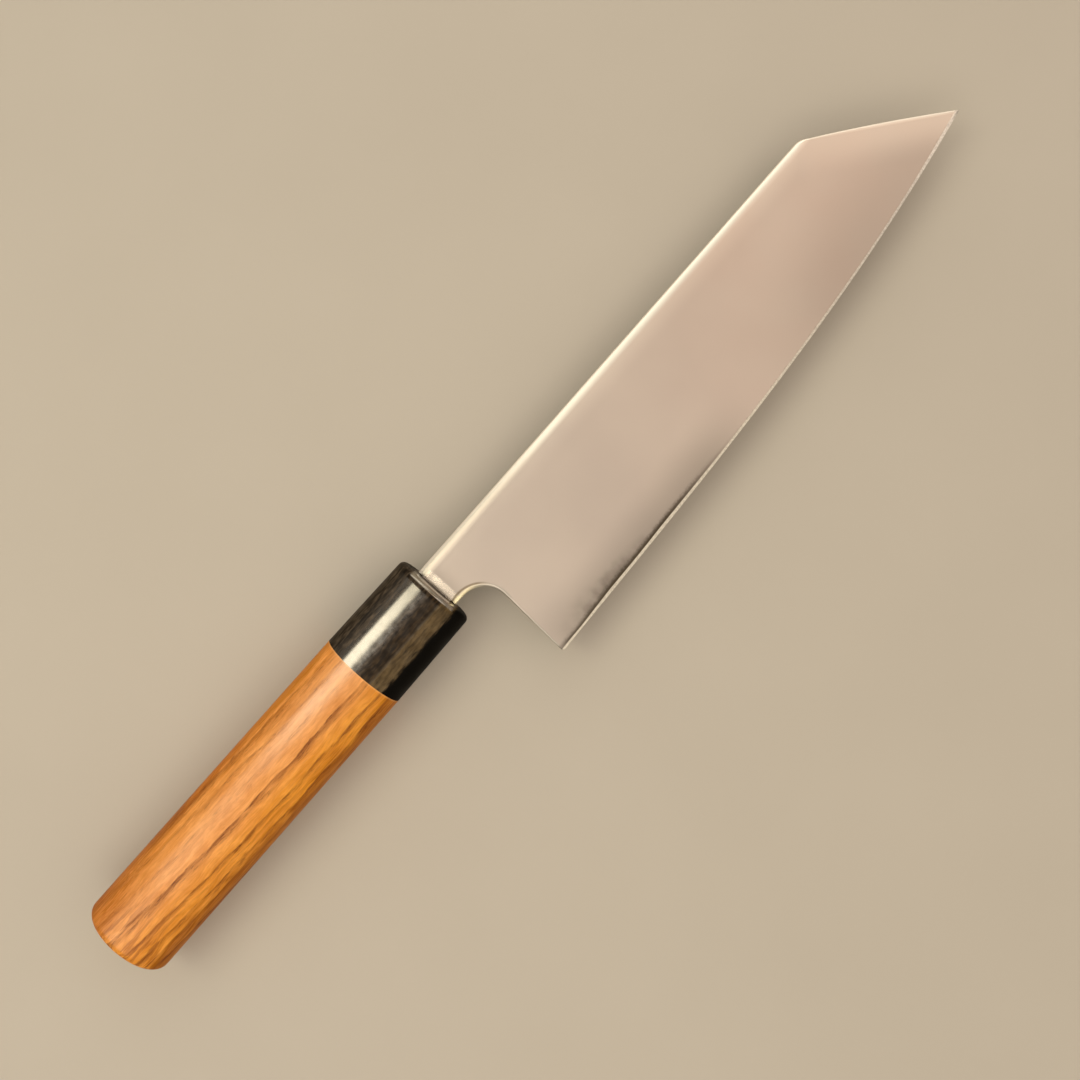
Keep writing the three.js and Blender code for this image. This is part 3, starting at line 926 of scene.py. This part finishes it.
# %% Finish of the wooden handle
FIBRE_STAINS = {
    "long": (0.3, colour(0.56, 0.19, 0.008)),
    "short": (0.4, colour(0.52, 0.17, 0.008)),
    "fine": (0.25, colour(0.94, 0.44, 0.13)),
}
YEAR_LINE = (0.95, colour(0.22, 0.06, 0.012))
PORE = (1.0, colour(0.14, 0.04, 0.008))
# A thin pale line along the joint is a painted highlight, where the wood's edge catches the light.
JOINT_PAINTED_HIGHLIGHT = (0.2, colour(0.95, 0.62, 0.30))
JOINT_HIGHLIGHT_WIDTHS = (0.45, 0.2)
WOOD_ROUGHNESS = (0.34, 0.44)
FIBRE_ROUGHER = 0.08
WOOD_SPECULAR = 0.05
OIL_ROUGHNESS, OIL_IOR = 0.3, 2.3
GRAIN_DEPTH = 0.05 * MM


def handle_wood():
    material, tree, shader = new_material("ring_porous_wood")
    place = object_millimetres(tree)
    axes = add_node(tree, "SeparateXYZ", {0: place}).outputs
    fibre_place = wavering(tree, place)
    fibres = {name: fibre_mask(tree, fibre_place, *size) for name, size in FIBRE_SIZES.items()}
    layer = growth_layers(tree, place)
    stretches = fade(tree, stretched_noise(tree, place, length=9.0, width=1.6, detail=3.0), 0.32, 0.62)
    years = product(tree, year_ramp(tree, layer), span(tree, stretches, 0.3, 1.0))
    blotch = fade(tree, stretched_noise(tree, fibre_place, length=11.0, width=2.6, detail=4.0), 0.32, 0.68)
    pores = product(tree, fade(tree, fibres["pore"], 0.7, 0.95), span(tree, years, 0.05, 1.0))
    ground = wood_ground(tree, axes, layer, blotch, fibres)
    # Painted highlight: a thin pale line where the wood's edge meets the ferrule.
    joint_highlight = fade(tree, axes["X"], *[joint_x / MM - width for width in JOINT_HIGHLIGHT_WIDTHS])
    for name, fibre_stain in FIBRE_STAINS.items():
        ground = stain(tree, ground, fibres[name], *fibre_stain)
    for mask, line_stain in ((years, YEAR_LINE), (pores, PORE), (joint_highlight, JOINT_PAINTED_HIGHLIGHT)):
        ground = stain(tree, ground, mask, *line_stain)
    shine = shine_mask(tree, place, patch=14.0)
    roughness = sum_of(
        tree, "MULTIPLY_ADD", fibres["fine"], FIBRE_ROUGHER, span(tree, shine, *WOOD_ROUGHNESS))
    relief = sum_of(tree, "SUBTRACT", product(tree, fibres["fine"], 0.4), pores)
    bump = add_node(tree, "Bump", {"Height": relief, "Strength": 0.25, "Distance": GRAIN_DEPTH})
    fill(tree, shader, {
        "Base Color": ground, "Roughness": roughness, "Specular IOR Level": WOOD_SPECULAR,
        "Coat Weight": oil_coat(tree, axes, shine, years), "Coat Roughness": OIL_ROUGHNESS,
        "Coat IOR": OIL_IOR, "Normal": bump.outputs[0]})
    return material


handle.data.materials.clear()
handle.data.materials.append(handle_wood())
print("finish:", handle.data.materials[0].name)

# %% [markdown]
# Buffalo horn polishes almost black. From the spine's side to the edge's side it goes from grey through a dim
# middle to brown, with wavy borders, and the brown is partly the horn's own streaks and partly painted
# reflection. Beyond the brown the edge's side is painted shade, near black and almost without gloss. A clear
# coat over a matt base gives the bright band of the lamps and keeps the horn dark beside it. The coat is
# patchy, as buffing by hand leaves it, and weaker where the surface turns away and on the darker stretches,
# so that they stay dark. Just behind the front rim the horn is dull.

# %% Stretches and gloss of the horn
MIDDLE_ACROSS, BROWN_ACROSS, SHADE_SIDE_ACROSS = (1.4, -1.2), (-3.1, -4.0), (-6.8, -7.8)
GLOSS_FACING = (0.45, 0.16)
DULL_BEHIND_RIM = (-1.9, -2.4)
EVEN_GLOSS, PATCHY_GLOSS, PATCHY_ACROSS = (0.92, 1.0), (0.155, 0.54), (3.5, 1.3)
SPINE_GLOSS, SPINE_GLOSS_ACROSS = 0.18, (5.8, 7.3)
MIDDLE_GLOSS, BROWN_GLOSS, SHADE_SIDE_GLOSS = 0.22, 0.14, 0.02


def horn_stretches(tree, wavy):
    """Masks of the middle and brown stretches and of the painted shade, by the wavy place across the ferrule.
    """
    brown = fade(tree, wavy, *BROWN_ACROSS)
    shade_side = fade(tree, wavy, *SHADE_SIDE_ACROSS)
    middle = product(tree, fade(tree, wavy, *MIDDLE_ACROSS), span(tree, brown, 1.0, 0.0))
    return middle, brown, shade_side


def horn_gloss(tree, axes, from_mouth, wavy, smudges, stretches):
    middle, brown, shade_side = stretches
    facing = add_node(tree, "LayerWeight", {"Blend": 0.5}).outputs["Facing"]
    patchy = tint(
        tree, fade(tree, axes["Y"], *PATCHY_ACROSS),
        span(tree, smudges, *EVEN_GLOSS), span(tree, smudges, *PATCHY_GLOSS))
    return product(
        tree, fade(tree, facing, *GLOSS_FACING), patchy,
        span(tree, fade(tree, wavy, *SPINE_GLOSS_ACROSS), 1.0, SPINE_GLOSS),
        span(tree, middle, 1.0, MIDDLE_GLOSS), span(tree, brown, 1.0, BROWN_GLOSS),
        span(tree, shade_side, 1.0, SHADE_SIDE_GLOSS), fade(tree, from_mouth, *DULL_BEHIND_RIM))


print("black stretch from mm below the axis:", -SHADE_SIDE_ACROSS[1])

# %% [markdown]
# Close up the horn has fine smeared flecks along its growth, in the tone of each stretch, and one dark growth
# line. Round the neck the front rim is buffed to a full gloss, and a paler tone on its spine's side there is
# a painted reflection. The same smears that draw the flecks also make the stretches' borders waver, so that
# they belong together.

# %% Finish of the horn ferrule
HORN = colour(0.013, 0.009, 0.0056)
GREY_FLECK = colour(0.128, 0.098, 0.069)
MIDDLE_FLECK = colour(0.070, 0.044, 0.021)
# The brown stretch is partly the horn's own brown streaks and partly painted reflection.
BROWN_FLECK_AND_REFLECTION = colour(0.148, 0.101, 0.047)
# Painted shade: the edge's side of the ferrule is near black, with almost no gloss.
PAINTED_SHADE_HORN = colour(0.0012, 0.0008, 0.0004)
# A painted reflection on the buffed front rim.
RIM_PAINTED_REFLECTION = colour(0.125, 0.098, 0.052)
GROWTH_LINE = (0.6, colour(0.004, 0.003, 0.002))
GROWTH_LINE_AT, GROWTH_LINE_WIDTHS = 8.4, (0.5, 0.1)
BORDER_WAVER = 1.6
BUFFED_ALONG, BUFFED_ACROSS = (-1.3, -1.0, -0.12, -0.04), (7.2, 6.4)
RIM_REFLECTION_ACROSS = (-4.8, -0.5)
HORN_ROUGHNESS = (0.45, 0.6)
HORN_SPECULAR = 0.04
LEAST_GLOSS = 0.005
POLISH_ROUGHNESS, POLISH_IOR = 0.17, 2.8
FIBRE_DEPTH = 0.03 * MM


def dark_horn():
    material, tree, shader = new_material("polished_horn")
    place = object_millimetres(tree)
    axes = add_node(tree, "SeparateXYZ", {0: place}).outputs
    from_mouth = sum_of(tree, "SUBTRACT", axes["X"], mouth_x / MM)
    smudges = shine_mask(tree, place, patch=2.4)
    smears = stretched_noise(tree, place, length=2.9, width=0.75, detail=5.0)
    wavy = stirred(tree, axes["Y"], smears, BORDER_WAVER)
    stretches = horn_stretches(tree, wavy)
    middle, brown, shade_side = stretches
    flecks = tint(
        tree, brown, product(tree, fade(tree, smears, 0.32, 0.82), span(tree, smudges, 0.55, 1.0)),
        product(tree, fade(tree, smears, 0.10, 0.72), span(tree, smudges, 0.75, 1.0)))
    fleck = tint(tree, middle, tint(tree, brown, GREY_FLECK, BROWN_FLECK_AND_REFLECTION), MIDDLE_FLECK)
    horn = tint(tree, flecks, HORN, fleck)
    off_line = sum_of(tree, "ABSOLUTE", sum_of(tree, "SUBTRACT", wavy, GROWTH_LINE_AT))
    horn = stain(tree, horn, fade(tree, off_line, *GROWTH_LINE_WIDTHS), *GROWTH_LINE)
    # The edge's side is painted shade, near black.
    horn = tint(tree, shade_side, horn, PAINTED_SHADE_HORN)
    buffed = product(
        tree, window(tree, from_mouth, *BUFFED_ALONG),
        fade(tree, sum_of(tree, "ABSOLUTE", axes["Y"]), *BUFFED_ACROSS))
    # Painted reflection: a paler tone on the buffed front rim, towards the spine's side.
    horn = tint(tree, product(tree, buffed, fade(tree, axes["Y"], *RIM_REFLECTION_ACROSS)), horn, RIM_PAINTED_REFLECTION)
    gloss = horn_gloss(tree, axes, from_mouth, wavy, smudges, stretches)
    fibre = fibre_mask(tree, place, length=13.0, width=1.0)
    bump = add_node(tree, "Bump", {"Height": fibre, "Strength": 0.02, "Distance": FIBRE_DEPTH})
    fill(tree, shader, {
        "Base Color": horn, "Roughness": span(tree, shine_mask(tree, place, patch=6.0), *HORN_ROUGHNESS),
        "Specular IOR Level": HORN_SPECULAR,
        "Coat Weight": greatest(tree, span(tree, gloss, LEAST_GLOSS, 1.0), buffed),
        "Coat Roughness": POLISH_ROUGHNESS, "Coat IOR": POLISH_IOR, "Normal": bump.outputs[0]})
    return material


ferrule.data.materials.clear()
ferrule.data.materials.append(dark_horn())
print("finish:", ferrule.data.materials[0].name)

# %% [markdown]
# The blade's finish changes with the distance from its edge, its spine and its neck, so a group works these
# distances out. The edge curve's height is a cubic in the place along it, because its Bezier handles stand at
# a third of its length. The spine and the clip are taken as straight lines, and the choil as its circle.

# %% Group of distances on the blade
DISTANCES = (
    "Above Edge", "Above Bevel", "Below Spine", "Below Clip",
    "From Neck", "From Choil", "From Heel", "Along Edge")
HEEL_LINE_ENDS = 1.0


def edge_distances(group, axes):
    along = sum_of(group, "DIVIDE", sum_of(group, "SUBTRACT", axes["X"], heel.x / MM), edge_length / MM)
    a, b, c, d = (height / MM for height in edge_heights)
    height = sum_of(group, "MULTIPLY_ADD", along, d - 3 * c + 3 * b - a, 3 * (a - 2 * b + c))
    height = sum_of(group, "MULTIPLY_ADD", along, height, 3 * (b - a))
    height = sum_of(group, "MULTIPLY_ADD", along, height, a)
    above = sum_of(group, "SUBTRACT", axes["Y"], height)
    widths = add_node(group, "ValToRGB", {0: along})
    widths.color_ramp.elements[0].color = colour(*[BEVEL_AT_HEEL / MM] * 3)
    widths.color_ramp.elements[1].color = colour(*[BEVEL_AT_TIP / MM] * 3)
    for share, width in zip(BEVEL_TURNS, (BEVEL_WIDTH, BEVEL_AT_MIDDLE, BEVEL_AT_MIDDLE)):
        widths.color_ramp.elements.new(share).color = colour(*[width / MM] * 3)
    above_bevel = sum_of(group, "SUBTRACT", above, widths.outputs[0])
    return {"Along Edge": along, "Above Edge": above, "Above Bevel": above_bevel}


def spine_distances(group, place, axes):
    slope = SPINE_RISE / (clip.x - shoulder_x)
    spine = sum_of(group, "MULTIPLY_ADD", axes["X"], slope, (SPINE_HEIGHT - shoulder_x * slope) / MM)
    chord = (tip - clip).normalized()
    clip_way = (-chord.y, chord.x, 0)
    past = add_node(group, "VectorMath", {0: place, 1: clip_way}, operation="DOT_PRODUCT")
    clip_reach = (clip.x * clip_way[0] + clip.y * clip_way[1]) / MM
    return {
        "Below Spine": sum_of(group, "SUBTRACT", spine, axes["Y"]),
        "Below Clip": sum_of(group, "SUBTRACT", clip_reach, past.outputs["Value"]),
    }


def heel_distances(group, place, axes):
    """The neck's, the choil's and the heel's. The heel's line ends where the choil starts."""
    middle = (choil_x / MM, choil_end.y / MM, 0)
    flat = add_node(group, "VectorMath", {0: place, 1: (1, 1, 0)}, operation="MULTIPLY")
    radius = add_node(group, "VectorMath", {0: flat.outputs[0], 1: middle}, operation="DISTANCE")
    lean = HEEL_LEAN / (choil_end.y - heel.y)
    heel_line = sum_of(group, "MULTIPLY_ADD", axes["Y"], lean, (heel.x - heel.y * lean) / MM)
    above_heel = fade(
        group, axes["Y"], choil_end.y / MM - HEEL_LINE_ENDS, choil_end.y / MM + HEEL_LINE_ENDS)
    inside = sum_of(group, "MULTIPLY_ADD", above_heel, BLADE_HEIGHT / MM, axes["X"])
    return {
        "From Neck": sum_of(group, "SUBTRACT", axes["X"], shoulder_x / MM),
        "From Choil": sum_of(group, "SUBTRACT", radius.outputs["Value"], CHOIL_RADIUS / MM),
        "From Heel": sum_of(group, "SUBTRACT", inside, heel_line),
    }


def blade_distances():
    group, given, leave = new_group(
        "blade_distances", {"Place": "Vector"}, dict.fromkeys(DISTANCES, "Float"))
    axes = add_node(group, "SeparateXYZ", {0: given["Place"]}).outputs
    fill(group, leave, edge_distances(group, axes))
    fill(group, leave, spine_distances(group, given["Place"], axes))
    fill(group, leave, heel_distances(group, given["Place"], axes))
    return group


distances = blade_distances()
print("group:", distances.name)

# %% [markdown]
# Satin steel is a wide, even glow. A painted highlight makes it a little brighter towards the spine and the
# clip, and painted shade darkens it towards the edge on the half nearer the tip. Behind the edge the steel is
# darker: as a wide soft haze from the heel to the middle, which is painted dark reflection, as cloudy plumes
# near the heel, and as smoke right above the bevel. All of these are masks made of the distances, because
# then they follow the blade's own lines. Distances are in millimetres, and places along the edge are shares
# of its length.

# %% Satin face of the blade
SATIN = (colour(0.645, 0.585, 0.545), colour(0.675, 0.612, 0.57))
# Painted shade on the satin steel, darker towards the edge on the half nearer the tip.
SATIN_PAINTED_SHADE = (0.5, colour(0.33, 0.305, 0.28))
SATIN_SHADE_ABOVE, SATIN_SHADE_ALONG = (26.0, 0.0), (0.42, 0.74)
# Painted highlight: the satin steel a little brighter towards the spine and the clip.
SATIN_PAINTED_HIGHLIGHT = (0.6, colour(0.84, 0.78, 0.72))
SPINE_GLOW_BELOW, SPINE_GLOW_ALONG, CLIP_GLOW_BELOW = (7.0, 1.0), (-0.1, 0.35), (11.0, 1.0)
# The wide haze behind the edge is a painted dark reflection.
HAZE_PAINTED_REFLECTION = (0.6, colour(0.30, 0.275, 0.25))
HAZE_WIDTH = 13.0
HAZE_ALONG = (-0.06, 0.08, 0.34, 0.48)
CLOUD = (0.7, colour(0.19, 0.165, 0.145))
CLOUD_WIDTH_AT_HEEL, CLOUD_WIDTH_AT_MIDDLE = 7.0, 2.5
CLOUD_NARROWS_ALONG, CLOUD_ALONG = (0.05, 0.3), (0.0, 0.09, 0.18, 0.36)
PLUME_SCALE = (0.26, 0.19, 0.2)
SMOKE = (0.4, colour(0.11, 0.095, 0.08))
SMOKE_ABOVE, SMOKE_ALONG = (4.2, 0.2), (0.085, 0.115, 0.15, 0.185)
SMOKE_WAVER = 3.0


# The haze is a painted dark reflection behind the edge.
def painted_reflection_haze(tree, far):
    length = window(tree, far["Along Edge"], *HAZE_ALONG)
    return product(tree, fade(tree, far["Above Edge"], HAZE_WIDTH, 0.0), length)


def edge_cloud(tree, place, far):
    along = far["Along Edge"]
    width = sum_of(
        tree, "MULTIPLY_ADD", fade(tree, along, *CLOUD_NARROWS_ALONG),
        CLOUD_WIDTH_AT_MIDDLE - CLOUD_WIDTH_AT_HEEL, CLOUD_WIDTH_AT_HEEL)
    low = fade(tree, sum_of(tree, "DIVIDE", far["Above Edge"], width), 1.1, -0.1)
    upright = add_node(tree, "Mapping", {0: place, 3: PLUME_SCALE}).outputs[0]
    plumes = fade(tree, noise(tree, upright, detail=2.5, roughness=0.55), 0.36, 0.66)
    return product(tree, low, window(tree, along, *CLOUD_ALONG), span(tree, plumes, 0.2, 1.0))


def bevel_smoke(tree, place, far):
    height = stirred(tree, far["Above Bevel"], noise(tree, place, scale=0.45), SMOKE_WAVER)
    return product(tree, fade(tree, height, *SMOKE_ABOVE), window(tree, far["Along Edge"], *SMOKE_ALONG))


def satin_face(tree, place, far):
    along = far["Along Edge"]
    clouds = fade(tree, noise(tree, place, scale=0.03, detail=3.0), 0.3, 0.7)
    # Painted shade: darker towards the edge on the half nearer the tip.
    low = product(
        tree, fade(tree, far["Above Edge"], *SATIN_SHADE_ABOVE), fade(tree, along, *SATIN_SHADE_ALONG))
    spine_glow = product(
        tree, fade(tree, far["Below Spine"], *SPINE_GLOW_BELOW), fade(tree, along, *SPINE_GLOW_ALONG))
    painted_highlight = greatest(tree, spine_glow, fade(tree, far["Below Clip"], *CLIP_GLOW_BELOW))
    steel = stain(tree, tint(tree, clouds, *SATIN), low, *SATIN_PAINTED_SHADE)
    # Painted highlight towards the spine and the clip.
    steel = stain(tree, steel, painted_highlight, *SATIN_PAINTED_HIGHLIGHT)
    steel = stain(tree, steel, painted_reflection_haze(tree, far), *HAZE_PAINTED_REFLECTION)
    steel = stain(tree, steel, edge_cloud(tree, place, far), *CLOUD)
    return stain(tree, steel, bevel_smoke(tree, place, far), *SMOKE)


print("haze reaches mm from the edge:", HAZE_WIDTH)

# %% [markdown]
# The eased spine, the clip, the neck's end, the choil and the heel were polished after the satin finish. The
# polish's tones are partly brighter polished steel and partly painted highlight, brightest along the spine
# and at the neck's end, which has a ragged border. The choil's yellowish tone and the dark line round it are
# painted reflection. A second material on those faces would have hard borders, so the polish is one more
# mask in the same material.

# %% Polished borders of the blade
NECK_POLISH = 2.3
NECK_BORDER = 0.35
NECK_RAGGED = 2.0
SPINE_POLISH, SPINE_WIDER, SPINE_WIDENS_ALONG = (2.0, 0.3), 0.65, (0.05, 0.25)
CLIP_POLISH, CLIP_POLISH_STRENGTH = (0.9, 0.1), 0.6
CHOIL_POLISH, HEEL_POLISH = (1.3, 0.5), (0.7, 0.2)
# The polish's tones are partly brighter polished steel and partly painted highlight.
POLISH_TONES_AND_HIGHLIGHT = (colour(0.52, 0.50, 0.46), colour(1.0, 0.975, 0.92))
POLISH_ALONG = (-0.02, 0.25)
NECK_TONE_AND_HIGHLIGHT = colour(1.0, 0.93, 0.82)
SPINE_TONE_AND_HIGHLIGHT = colour(0.95, 0.91, 0.85)
SPINE_TONE_BELOW = (0.9, 0.4)
# Painted reflection: a yellowish tone on the choil's rounding.
CHOIL_PAINTED_REFLECTION = colour(0.96, 0.89, 0.66)
CHOIL_TONE_WIDTH, CHOIL_TONE_REACH = (1.9, 1.5), (9.0, 4.0)
# Painted reflection: a dark line round the choil's rounding.
CHOIL_DARK_REFLECTION = (0.7, colour(0.25, 0.19, 0.11))
CHOIL_LINE_WIDTH, CHOIL_LINE_REACH = (1.2, 1.5, 1.7, 2.1), (10.5, 7.5)
CHOIL_NARROWS = 0.07


def polished_borders(tree, far, ragged):
    """Mask of what was polished. The spine's band is wider away from the neck."""
    neck_place = sum_of(tree, "MULTIPLY_ADD", ragged, NECK_RAGGED, far["From Neck"])
    neck = fade(tree, neck_place, NECK_POLISH + NECK_BORDER, NECK_POLISH - NECK_BORDER)
    wide = fade(tree, far["Along Edge"], *SPINE_WIDENS_ALONG)
    spine_place = sum_of(tree, "MULTIPLY_ADD", wide, -SPINE_WIDER, far["Below Spine"])
    spine = fade(tree, spine_place, *SPINE_POLISH)
    clip_border = span(tree, fade(tree, far["Below Clip"], *CLIP_POLISH), 0.0, CLIP_POLISH_STRENGTH)
    choil = fade(tree, far["From Choil"], *CHOIL_POLISH)
    heel_border = fade(tree, far["From Heel"], *HEEL_POLISH)
    return greatest(tree, neck, spine, clip_border, choil, heel_border)


def polish_steel(tree, steel, polish, neck_flat, far):
    """The steel with the polish's tones over it, partly painted highlight, and the choil's painted
    reflection.
    """
    from_neck = far["From Neck"]
    # The polish's tones are partly brighter polished steel and partly painted highlight.
    tone = tint(tree, fade(tree, far["Along Edge"], *POLISH_ALONG), *POLISH_TONES_AND_HIGHLIGHT)
    tone = tint(tree, neck_flat, tone, NECK_TONE_AND_HIGHLIGHT)
    tone = tint(tree, fade(tree, far["Below Spine"], *SPINE_TONE_BELOW), tone, SPINE_TONE_AND_HIGHLIGHT)
    choil_place = sum_of(tree, "MULTIPLY_ADD", from_neck, CHOIL_NARROWS, far["From Choil"])
    # Painted reflection: a yellowish tone on the choil's rounding.
    choil_reflection = product(
        tree, fade(tree, choil_place, *CHOIL_TONE_WIDTH), fade(tree, from_neck, *CHOIL_TONE_REACH))
    steel = tint(tree, polish, steel, tint(tree, choil_reflection, tone, CHOIL_PAINTED_REFLECTION))
    # Painted reflection: a dark line round the choil's rounding.
    choil_dark_reflection = product(
        tree, window(tree, choil_place, *CHOIL_LINE_WIDTH), fade(tree, from_neck, *CHOIL_LINE_REACH))
    return stain(tree, steel, choil_dark_reflection, *CHOIL_DARK_REFLECTION)


print("polish at the neck in mm:", NECK_POLISH)

# %% [markdown]
# Along the bevel's upper border runs a ragged dark line with a thin sharp one in it, strongest a little way
# from the heel. Towards the tip only specks of burr are left. The bevel itself is freshly ground and pale.
# Its form is in the mesh, and its tone is laid on here, because near the heel the pale band is a little
# narrower than the bevel.

# %% Bevel of the blade
DARK_LINE = (0.9, colour(0.09, 0.073, 0.057))
DARK_LINE_WIDTH, DARK_LINE_RAGGED, DARK_LINE_ALONG = (1.6, 0.25), 1.3, (0.40, 0.24)
DARK_LINE_AT_HEEL, DARK_LINE_GROWS_ALONG = 0.55, (0.02, 0.13)
THIN_LINE = (0.65, colour(0.085, 0.068, 0.048))
THIN_LINE_WIDTH, THIN_LINE_RAGGED, THIN_LINE_ALONG = (0.85, 0.3), 0.5, (0.0, 0.02, 0.24, 0.44)
BURR = (0.4, colour(0.33, 0.30, 0.27))
BURR_WIDTH, BURR_ALONG = (0.5, 0.05), (0.3, 0.4)
GROUND_STEEL = (colour(0.54, 0.51, 0.48), colour(0.70, 0.67, 0.63))
GROUND_NARROWER, GROUND_NARROW_ALONG = 0.22, (0.01, 0.05, 0.17, 0.26)
GROUND_BORDER = 0.04


def bevel_lines(tree, steel, above_ground, far, ragged):
    along = far["Along Edge"]
    line_place = sum_of(tree, "MULTIPLY_ADD", ragged, DARK_LINE_RAGGED, above_ground)
    dark_line = product(
        tree, fade(tree, line_place, *DARK_LINE_WIDTH), fade(tree, along, *DARK_LINE_ALONG),
        span(tree, fade(tree, along, *DARK_LINE_GROWS_ALONG), DARK_LINE_AT_HEEL, 1.0))
    steel = stain(tree, steel, dark_line, *DARK_LINE)
    thin_place = sum_of(tree, "MULTIPLY_ADD", ragged, THIN_LINE_RAGGED, above_ground)
    thin_line = product(
        tree, fade(tree, thin_place, *THIN_LINE_WIDTH), window(tree, along, *THIN_LINE_ALONG))
    steel = stain(tree, steel, thin_line, *THIN_LINE)
    burr = product(
        tree, fade(tree, ragged, 0.02, 0.12), fade(tree, far["Above Bevel"], *BURR_WIDTH),
        fade(tree, along, *BURR_ALONG))
    return stain(tree, steel, burr, *BURR)


def ground_bevel(tree, steel, place, far, ragged):
    """The steel with the bevel and its lines, and the bevel's mask."""
    narrow = window(tree, far["Along Edge"], *GROUND_NARROW_ALONG)
    above_ground = sum_of(tree, "MULTIPLY_ADD", narrow, GROUND_NARROWER, far["Above Bevel"])
    steel = bevel_lines(tree, steel, above_ground, far, ragged)
    bevel = fade(tree, above_ground, GROUND_BORDER, -GROUND_BORDER)
    scuffs = fade(tree, noise(tree, place, scale=2.2, detail=2.0), 0.35, 0.65)
    return tint(tree, bevel, steel, tint(tree, scuffs, *GROUND_STEEL)), bevel


print("bevel width in mm:", round(BEVEL_WIDTH / MM, 2))

# %% [markdown]
# The blade's finish puts these together on a metal. Its roughness is patchy, and lower where the steel was
# polished or ground. A very fine grind runs across the blade as a bump. At the neck's end polishing has taken
# the grind away and rounded the flat towards the spine, so there the surface's direction leans a little.

# %% Finish of the blade
GRIND_DEPTH = 0.02 * MM
STEEL_ROUGHNESS = (0.36, 0.43)
POLISHED_SMOOTHER, NECK_SMOOTHER = 0.06, 0.10
NECK_END_BORDER, NECK_FLAT_BELOW = 0.6, (1.4, 2.6)
NECK_LEAN = (0.045, 0.095)
NECK_LEAN_BELOW, NECK_LEAN_GROWS = (2.6, 4.4), (11.0, 3.0)


def rounded_neck(tree, far, neck_end):
    """The surface's own direction, leaning towards the spine on the flat of the neck's end."""
    lean = product(
        tree, neck_end, fade(tree, far["Below Spine"], *NECK_LEAN_BELOW),
        span(tree, fade(tree, far["Below Spine"], *NECK_LEAN_GROWS), *NECK_LEAN))
    towards_spine = add_node(tree, "CombineXYZ", {1: lean}).outputs[0]
    straight = add_node(tree, "NewGeometry").outputs["Normal"]
    leaning = add_node(tree, "VectorMath", {0: straight, 1: towards_spine}, operation="ADD").outputs[0]
    return add_node(tree, "VectorMath", {0: leaning}, operation="NORMALIZE").outputs[0]


def satin_steel():
    material, tree, shader = new_material("satin_steel")
    place = object_millimetres(tree)
    far = use_group(tree, distances, {"Place": place})
    ragged = sum_of(tree, "SUBTRACT", noise(tree, place, scale=1.6, detail=4.0, roughness=0.65), 0.5)
    neck_end = fade(tree, far["From Neck"], NECK_POLISH + NECK_END_BORDER, NECK_POLISH)
    neck_flat = product(tree, neck_end, fade(tree, far["Below Spine"], *NECK_FLAT_BELOW))
    polish = polished_borders(tree, far, ragged)
    steel = polish_steel(tree, satin_face(tree, place, far), polish, neck_flat, far)
    steel, bevel = ground_bevel(tree, steel, place, far, ragged)
    roughness = span(tree, shine_mask(tree, place, patch=22.0), *STEEL_ROUGHNESS)
    roughness = sum_of(tree, "MULTIPLY_ADD", greatest(tree, polish, bevel), -POLISHED_SMOOTHER, roughness)
    roughness = sum_of(tree, "MULTIPLY_ADD", neck_flat, -NECK_SMOOTHER, roughness)
    grind = product(tree, fibre_mask(tree, place, length=0.12, width=6.0), span(tree, neck_end, 1.0, 0.0))
    bump = add_node(tree, "Bump", {
        "Height": grind, "Strength": 0.04, "Distance": GRIND_DEPTH,
        "Normal": rounded_neck(tree, far, neck_end)})
    fill(tree, shader, {
        "Base Color": steel, "Metallic": 1.0, "Roughness": roughness, "Normal": bump.outputs[0]})
    return material


blade.data.materials.clear()
blade.data.materials.append(satin_steel())
print("finish:", blade.data.materials[0].name)

# %% [markdown]
# The dowel that lines up ferrule and handle, and the adhesive round the tang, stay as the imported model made
# them. They are hidden in the whole knife, and still get finishes of their own: pale straight-grained wood,
# and amber resin with small clouds in it.

# %% Finishes of the hidden pieces
DOWEL_WOOD = (colour(0.72, 0.57, 0.36), colour(0.58, 0.43, 0.24))
AMBER_RESIN = (colour(0.62, 0.42, 0.15), colour(0.52, 0.33, 0.10))
DOWEL_ROUGHNESS, RESIN_ROUGHNESS = (0.6, 0.75), (0.25, 0.4)


def dowel_wood():
    material, tree, shader = new_material("pale_dowel_wood")
    fibre = fibre_mask(tree, object_millimetres(tree), length=18.0, width=0.4)
    fill(tree, shader, {
        "Base Color": tint(tree, fibre, *DOWEL_WOOD), "Roughness": span(tree, fibre, *DOWEL_ROUGHNESS)})
    return material


def amber_resin():
    material, tree, shader = new_material("amber_resin")
    cloud = shine_mask(tree, object_millimetres(tree), patch=3.0)
    fill(tree, shader, {
        "Base Color": tint(tree, cloud, *AMBER_RESIN), "Roughness": span(tree, cloud, *RESIN_ROUGHNESS)})
    return material


for node_name, finish in (("joining_dowel", dowel_wood()), ("tang_resin", amber_resin())):
    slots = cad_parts[node_name].material_slots
    for material_slot in slots:
        material_slot.material = finish
    print("finish:", node_name, finish.name, len(slots))

# %% [markdown]
# Nothing on this knife moves, so all pieces ride on the one body. Each new piece stands for its imported
# node, which is hidden.

# %% Join the pieces to the frame
for piece, node_name, slot_name in (
    (blade, "blade", "blade_steel"),
    (ferrule, "ferrule", "dark_horn"),
    (handle, "handle_body", "handle_wood"),
):
    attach(piece, "root")
    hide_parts(node_name)
